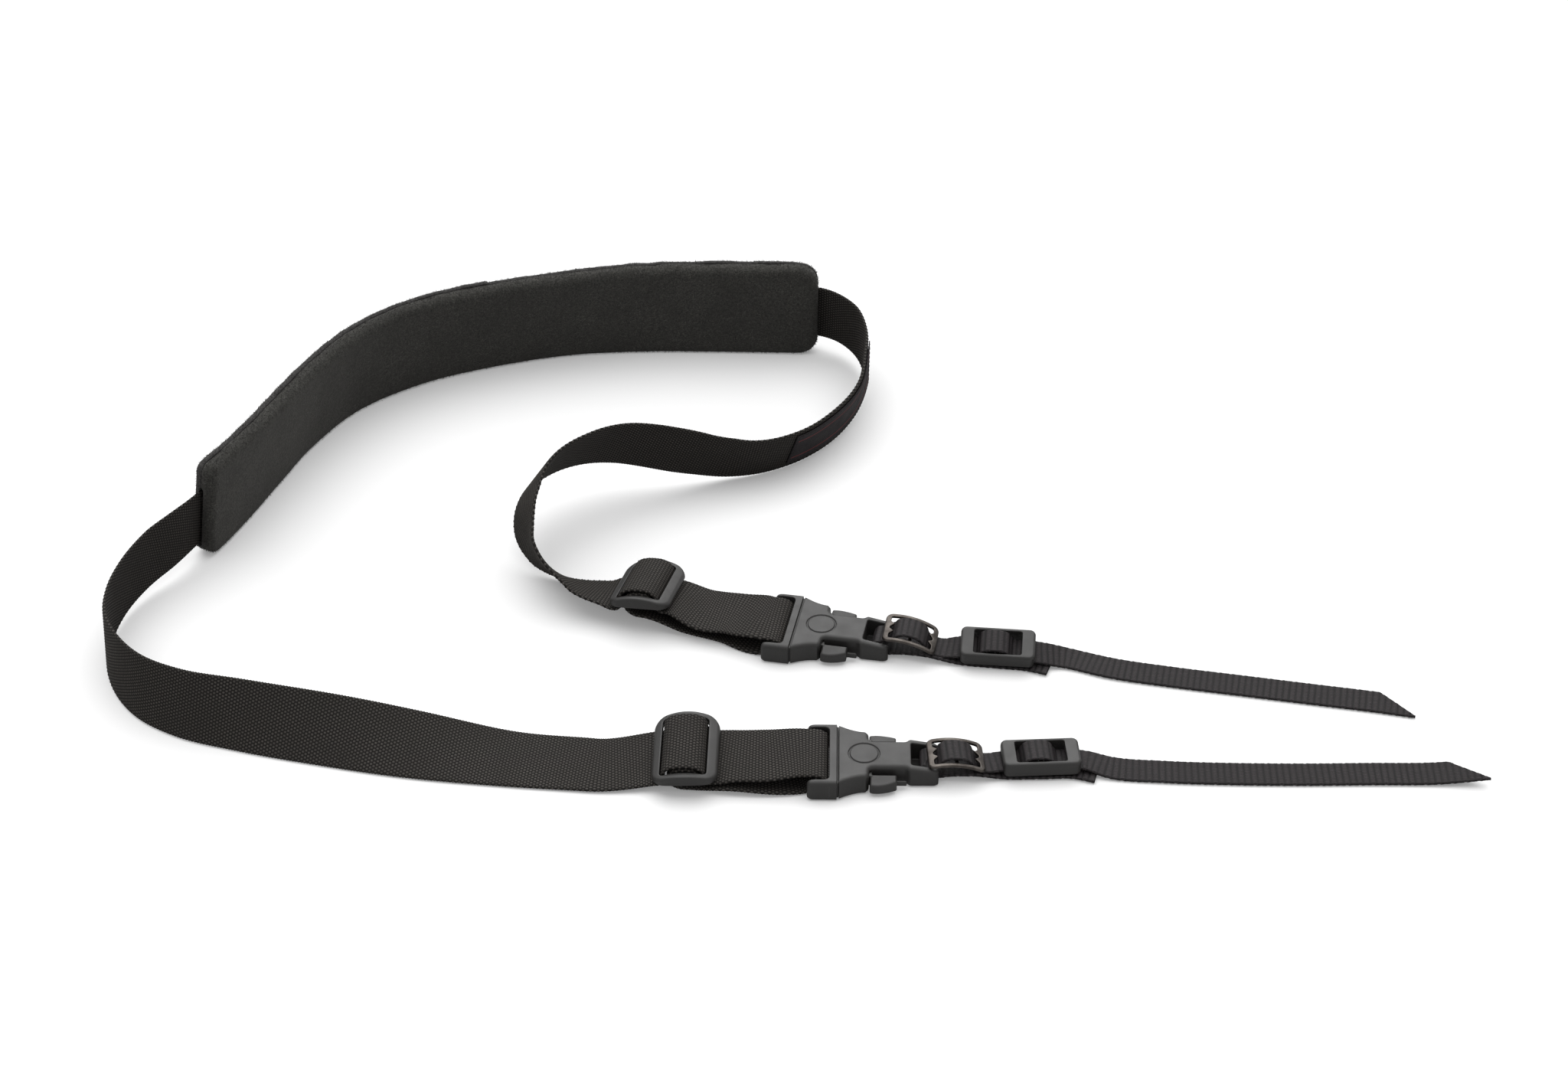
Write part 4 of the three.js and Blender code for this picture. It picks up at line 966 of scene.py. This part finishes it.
def polygon_distance(corners, px, py):
    """Distance from a closed outline, below zero inside it."""
    nearest = np.full(np.broadcast(px, py).shape, np.inf, dtype=np.float32)
    inside = np.zeros(nearest.shape, dtype=bool)
    for (ax, ay), (bx, by) in zip(corners, corners[1:] + corners[:1]):
        ex, ey = bx - ax, by - ay
        if ex == 0 and ey == 0:
            continue
        t = np.clip(((px - ax) * ex + (py - ay) * ey) / (ex * ex + ey * ey), 0, 1)
        nearest = np.minimum(nearest, (px - ax - ex * t) ** 2 + (py - ay - ey * t) ** 2)
        if ey:
            crossed = ((py >= ay) != (py >= by)) & (px < ax + (py - ay) * ex / ey)
            inside ^= crossed
    return np.where(inside, -1, 1) * np.sqrt(nearest)


def filleted(corners, steps=FILLET_STEPS):
    """An outline whose corners (x, y, radius) are rounded."""
    outline = []
    for i, (x, y, radius) in enumerate(corners):
        here = np.array([x, y])
        back = np.array(corners[i - 1][:2]) - here
        ahead = np.array(corners[(i + 1) % len(corners)][:2]) - here
        reach = min(radius, CORNER_SHARE * np.hypot(*back), CORNER_SHARE * np.hypot(*ahead))
        if reach <= 0:
            outline.append((x, y))
            continue
        first, last = here + back / np.hypot(*back) * reach, here + ahead / np.hypot(*ahead) * reach
        for t in np.linspace(0, 1, steps):
            outline.append(tuple((1 - t) ** 2 * first + 2 * t * (1 - t) * here + t * t * last))
    return outline


def bent(start, control, end):
    """Points of a curve from start towards control and on to end."""
    start, control, end = map(np.array, (start, control, end))
    return [tuple((1 - t) ** 2 * start + 2 * t * (1 - t) * control + t * t * end)
            for t in np.linspace(0, 1, BEND_STEPS)]


def rounded_box(x, y, half_x, half_y, corner):
    qx, qy = np.abs(x) - half_x + corner, np.abs(y) - half_y + corner
    return np.hypot(np.maximum(qx, 0), np.maximum(qy, 0)) + np.minimum(np.maximum(qx, qy), 0) - corner


def both(first, second, edge):
    """What lies in both fields, with a rounded edge where their surfaces meet."""
    a, b = first + edge, second + edge
    return np.hypot(np.maximum(a, 0), np.maximum(b, 0)) + np.minimum(np.maximum(a, b), 0) - edge


def joined(first, second, fillet):
    """What lies in either field, with a fillet where their surfaces meet."""
    share = np.clip(0.5 + 0.5 * (second - first) / fillet, 0, 1)
    return second + (first - second) * share - fillet * share * (1 - share)


def between(values, low, high):
    return np.abs(values - (low + high) / 2) - (high - low) / 2


def cross_bar(block, along, high, radius, half):
    return np.maximum(np.hypot(block.x - along, block.z - high) - radius, np.abs(block.y) - half)


def draw_slider():
    s = SLIDER
    half_long, half_wide = s.length / 2, s.width / 2
    block = Block((-half_long, -half_wide, 0), (half_long, half_wide, s.crown), s.grid)
    slope = 2 * (s.crown - s.rim) / half_long
    top = s.rim + (s.crown - s.rim) * (1 - (block.x / half_long) ** 2)
    lens = (block.z - top) / np.sqrt(1 + (slope * block.x / half_long) ** 2)
    bowed = np.abs(block.y) + s.bow * (block.x / half_long) ** 2
    bowed_slope = np.sqrt(1 + (2 * s.bow * block.x / half_long ** 2) ** 2)
    outline = both((bowed - half_wide) / bowed_slope, np.abs(block.x) - half_long, s.corner)
    arch = s.hollow * (1 - (block.x / half_long) ** 2)
    arch_slope = np.sqrt(1 + (2 * s.hollow * block.x / half_long ** 2) ** 2)
    body = both(both(outline, lens, s.edge), (arch - block.z) / arch_slope, s.hollow_edge)
    middle = (s.left_bar - s.right_bar) / 2
    window_long = half_long - (s.left_bar + s.right_bar) / 2
    window_wide = half_wide - s.rail - s.window_bow * (block.x / half_long) ** 2
    window = both(np.abs(block.y) - window_wide, np.abs(block.x - middle) - window_long, s.window_corner)
    bar = cross_bar(block, 0, s.bar_high, s.bar_radius, half_wide - s.rail / 2)
    return block, joined(both(body, -window, s.window_edge), bar, s.fillet)


def draw_keeper():
    k = KEEPER
    half_long, half_wide = k.length / 2, k.width / 2
    block = Block((-half_long, -half_wide, 0), (half_long, half_wide, k.high), k.grid)
    outline = rounded_box(block.x, block.y, half_long, half_wide, k.corner)
    body = both(outline, between(block.z, 0, k.high), k.edge)
    window = rounded_box(block.x, block.y, k.window_length / 2, k.window_width / 2, k.window_corner)
    tunnel = np.maximum(np.abs(block.y) - k.window_width / 2, block.z - (k.high - k.roof)) + 0 * block.x
    open_frame = both(both(body, -window + 0 * block.z, k.window_edge), -tunnel, k.window_edge)
    bar = cross_bar(block, 0, k.bar_high, k.bar_radius, k.window_width / 2 + k.bar_radius)
    return block, joined(open_frame, bar, k.fillet)


def draw_tooth_slide():
    t = TOOTH_SLIDE
    half_long, half_wide = t.length / 2, t.width / 2
    block = Block((-half_long, -half_wide, 0), (half_long, half_wide, t.rise + t.sheet), t.grid)
    in_long, in_wide = half_long - t.bar, half_wide - t.rail
    pitch = 2 * in_wide / (t.teeth + 1)
    edge = [(in_long, -in_wide, t.inner_corner)]
    for i in range(t.teeth):
        middle = -in_wide + (i + 1) * pitch
        edge += [(in_long, middle - t.tooth_wide / 2, t.tooth_root), (in_long - t.tooth_deep, middle, t.tooth_tip),
                 (in_long, middle + t.tooth_wide / 2, t.tooth_root)]
    edge.append((in_long, in_wide, t.inner_corner))
    opening = block.plan(filleted(edge + [(-x, -y, r) for x, y, r in edge], t.fillet_steps))
    outline = rounded_box(block.x, block.y, half_long, half_wide, t.corner)
    arch = t.rise * (1 - (block.x / half_long) ** 2)
    sheet = between(block.z - arch, 0, t.sheet)
    sheet_frame = both(np.maximum(outline, -opening) + 0 * block.z, sheet, t.sheet_edge)
    post = np.maximum(between(np.abs(block.y), in_wide - t.post_in, in_wide + t.post_out),
                      np.abs(block.x) - t.bar_radius)
    post = np.maximum(post, between(block.z, t.bar_high, t.post_high))
    pin = cross_bar(block, 0, t.bar_high, t.bar_radius, in_wide)
    return block, joined(np.minimum(sheet_frame, post), pin, t.fillet)


def draw_plug():
    p, g = PLUG, PRONG
    half, past = BUCKLE.width / 2, BUCKLE.past
    block = Block((-p.length, -half, 0), (g.spur_to, half, p.high), p.grid)
    back, end = -p.length, -BUCKLE.gap
    long_plan = filleted([(back, -half, p.corner), (past, -half, 0), (past, half, 0), (back, half, p.corner)])
    nose = bent((back + p.nose_long, p.high), (back, p.high), (back, p.high - p.nose_drop))
    profile = [(back, p.toe_high), (back + p.toe_long, 0), (past, 0), (past, p.high)] + nose
    body = both(block.plan(long_plan) + 0 * block.z, block.side_view(profile), BUCKLE.edge)
    body = both(body, block.x - end, BUCKLE.joint_edge)
    in_arm, inner_end = half - p.arm, end - p.crossbar
    mouth = filleted([(back - p.mouth_past, -in_arm, 0), (inner_end, -in_arm, p.mouth_corner),
                      (inner_end, in_arm, p.mouth_corner), (back - p.mouth_past, in_arm, 0)])
    body = both(body, -block.plan(mouth), p.mouth_edge)
    body = joined(body, cross_bar(block, p.bar_along, p.bar_high, p.bar_radius, half - p.arm / 2), p.fillet)
    wide = np.abs(block.y)
    collar = np.maximum(between(block.x, end - p.crossbar / 2, end + p.collar_deep),
                        rounded_box(block.y, block.z - p.high / 2, half - p.collar_inset,
                                    p.high / 2 - p.collar_inset, p.collar_corner))
    body = np.minimum(body, collar)
    stem = np.maximum(between(block.x, g.root, g.stem_to), between(wide, g.inside, g.outside))
    stem = both(stem, between(block.z, g.low, g.high), g.stem_edge)
    outline = [(g.button_from, g.button_in), (g.button_to, g.button_in)] + bent(
        (g.button_to, g.heel_out), (g.swell_at, g.swell_out), (g.button_from, g.nose_out))
    slant = block.z + g.button_slope * (wide - g.inside) - g.button_high
    top = both(slant / math.hypot(1, g.button_slope), g.button_low - block.z, g.stem_edge)
    button = both(block.plan(outline, mirrored=True) + 0 * block.z, top, g.edge)
    spur = np.maximum(between(block.x, g.spur_from, g.spur_to), between(wide, g.spur_in, g.spur_out))
    spur = both(spur, between(block.z, g.spur_low, g.spur_high), g.stem_edge)
    return block, np.minimum(np.minimum(body, joined(stem, button, g.fillet)), spur)


# One side of the socket's plan behind its curved shoulder: along, half width, radius of the corner.
SOCKET_SIDE = [
    (9.5, 12.1, 0.4), (10.5, 10.9, 0.4), (10.7, 7.0, 1.8), (23.2, 7.0, 1.0), (24.4, 8.3, 1.0), (33.2, 8.2, 1.0),
    (34.8, 6.9, 1.0),
]
# Past the middle, so that the outline closes on the other side.
OTHER_SIDE = -40


def draw_socket():
    s = SOCKET
    half, high, before = BUCKLE.width / 2, BUCKLE.high, -BUCKLE.past
    block = Block((0, -half, 0), (s.length, half, high), s.grid)
    shoulder = bent((before, half + s.shoulder_out), (s.swell_at, s.swell_half), SOCKET_SIDE[0][:2])
    one_side = filleted([(x, y, 0.0) for x, y in shoulder[:-1]] + SOCKET_SIDE
                        + [(s.length, OTHER_SIDE, 0), (before, OTHER_SIDE, 0)])
    wide = np.abs(block.y)
    plan = block.plan(one_side, mirrored=True)
    profile = [(before, 0), (s.length, 0), (s.length, s.end_high), (s.slot_from, high), (before, high)]
    body = both(plan + 0 * block.z, block.side_view(profile), BUCKLE.edge)
    body = both(body, BUCKLE.gap - block.x, BUCKLE.joint_edge)
    pocket = np.maximum(np.maximum(block.x - s.pocket_to, between(wide, s.pocket_in, s.pocket_out)),
                        between(block.z, s.pocket_low, s.pocket_high))
    slot = both(s.slot_from - block.x, wide - s.slot_half, s.slot_corner) + 0 * block.z
    ring = np.abs(np.hypot(block.x - s.ring_along, block.y) - s.ring_radius + s.ring_wide / 2) - s.ring_wide / 2
    groove = np.maximum(ring, high - s.ring_deep - block.z)
    body = np.maximum(both(np.maximum(body, -pocket), -slot, s.slot_edge), -groove)
    floor = np.maximum(between(block.x, s.slot_from - s.floor_past, s.floor_to), wide - s.slot_half - s.floor_past)
    body = np.minimum(body, np.maximum(floor, between(block.z, s.floor_low, s.floor_high)))
    bar = cross_bar(block, s.bar_along, s.bar_high, s.bar_radius, s.slot_half + s.bar_past)
    return block, joined(body, bar, s.fillet)


def thinned(mesh_piece, share):
    """The piece with its flat stretches merged into fewer faces."""
    cut = mesh_piece.modifiers.new("thin", "DECIMATE")
    cut.ratio = share
    mesh = evaluated_mesh(mesh_piece)
    old, mesh_piece.data = mesh_piece.data, mesh
    bpy.data.meshes.remove(old)
    mesh.name = mesh_piece.name
    return mesh_piece


def set_down(name, drawing, place, finish, share):
    points, quads = drawing
    turn, origin = place
    return thinned(mesh_object(name, points @ turn.T + origin, quads, finish), share)


def stood(piece, node):
    """The piece rides on the strap and stands for a CAD node."""
    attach(piece, "root")
    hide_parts(node)
    return piece


# kind of piece, the place that it goes to, how it is drawn, its finish, the share of faces that it keeps
HARDWARE = [
    ("slider", "slider", draw_slider, "moulded_plastic", 0.45),
    ("buckle_plug", "buckle", draw_plug, "moulded_plastic", 0.4),
    ("buckle_socket", "buckle", draw_socket, "moulded_plastic", 0.35),
    ("tooth_slide", "tooth_slide", draw_tooth_slide, "slide_metal", 0.45),
    ("keeper", "keeper", draw_keeper, "moulded_plastic", 0.4),
]
drawings = {}
for kind, _, draw, _, _ in HARDWARE:
    block, field = draw()
    drawings[kind] = block.surface(field)

for strand_name, strand in STRANDS.items():
    places = {piece: place_of(*row) for piece, row in strand["pieces"].items()}
    for kind, spot, _, finish, share in HARDWARE:
        node = f"{kind}_{strand_name}"
        stood(set_down(node, drawings[kind], places[spot], finish, share), node)

    line = stations(wide_line(strand, places), WEBBING.column / 2)
    node = f"webbing_{strand_name}"
    webbing = stood(wide_webbing(node, line), node)
    if strand_name == "rear":
        patch = stood(label_patch(line), "label_patch")
        stood(label_stitches(line), "label_patch")

    keeper_across = places["keeper"][0] @ np.array([0, 1.0, 0])
    keeper_across = unit(keeper_across * np.array([1, 1, 0]))
    tail = np.array(strand["tail"])
    rows = np.vstack([
        np.concatenate([strand["under_end"], keeper_across]),
        thread_rows(NARROW_THREADING, places, 1),
        np.hstack([tail, leaning(directions(tail), np.full(len(tail), NARROW.tail_lean))]),
    ])
    line = stations(rows, NARROW.rib / NARROW.rib_steps)
    node = f"narrow_webbing_{strand_name}"
    narrow = stood(narrow_webbing(node, line), node)

# node, depths of the outer face and the seam behind the pad's middle line, finish, seeds of the unevenness and the nap
PAD_LAYERS = [
    ("pad_front", -PAD.seam / 2 - PAD.front, -PAD.seam_line, "pad_suede", 3.0, 5),
    ("pad_back", PAD.seam / 2 + PAD.back, PAD.seam_line, "pad_backing", 11.0, 8),
]
layers = [pad_layer(*row[:5]) for row in PAD_LAYERS]
for layer, (node, _, _, slot_name, _, seed) in zip(layers, PAD_LAYERS):
    nap = nap_on(layer, f"{node}_nap", slot_name, seed)
    stood(nap, node)
    stood(layer, node)


# Table and light

def make_table():
    side = TABLE_HALF
    corners = [(-side, -side, 0), (side, -side, 0), (side, side, 0), (-side, side, 0)]
    table = mesh_object("table", np.array(corners) - SHIFT, [(0, 1, 2, 3)], smooth=False)
    table.data.materials.append(table_material())


def make_light():
    sky = bpy.data.worlds.new("studio")
    sky.use_nodes = True
    board = Board(sky.node_tree)
    fill = sky.node_tree.nodes["Background"]
    fill.inputs["Color"].default_value = (1, 1, 1, 1)
    fill.inputs["Strength"].default_value = FILL
    backdrop = board.add("ShaderNodeBackground", {"Color": (1, 1, 1, 1), "Strength": BACKDROP})
    seen_by_camera(board, "World Output", fill, backdrop)
    bpy.context.scene.world = sky
    for name, energy, angle, tilt in SOFT_BOXES:
        data = bpy.data.lights.new(name, "SUN")
        data.energy = energy
        data.angle = math.radians(angle)
        lamp = placed(name, data)
        lamp.rotation_euler = (math.radians(tilt), 0, 0)
        lamp.visible_diffuse = name != "gloss"
    bpy.context.scene.view_settings.view_transform = "Standard"


make_table()
make_light()
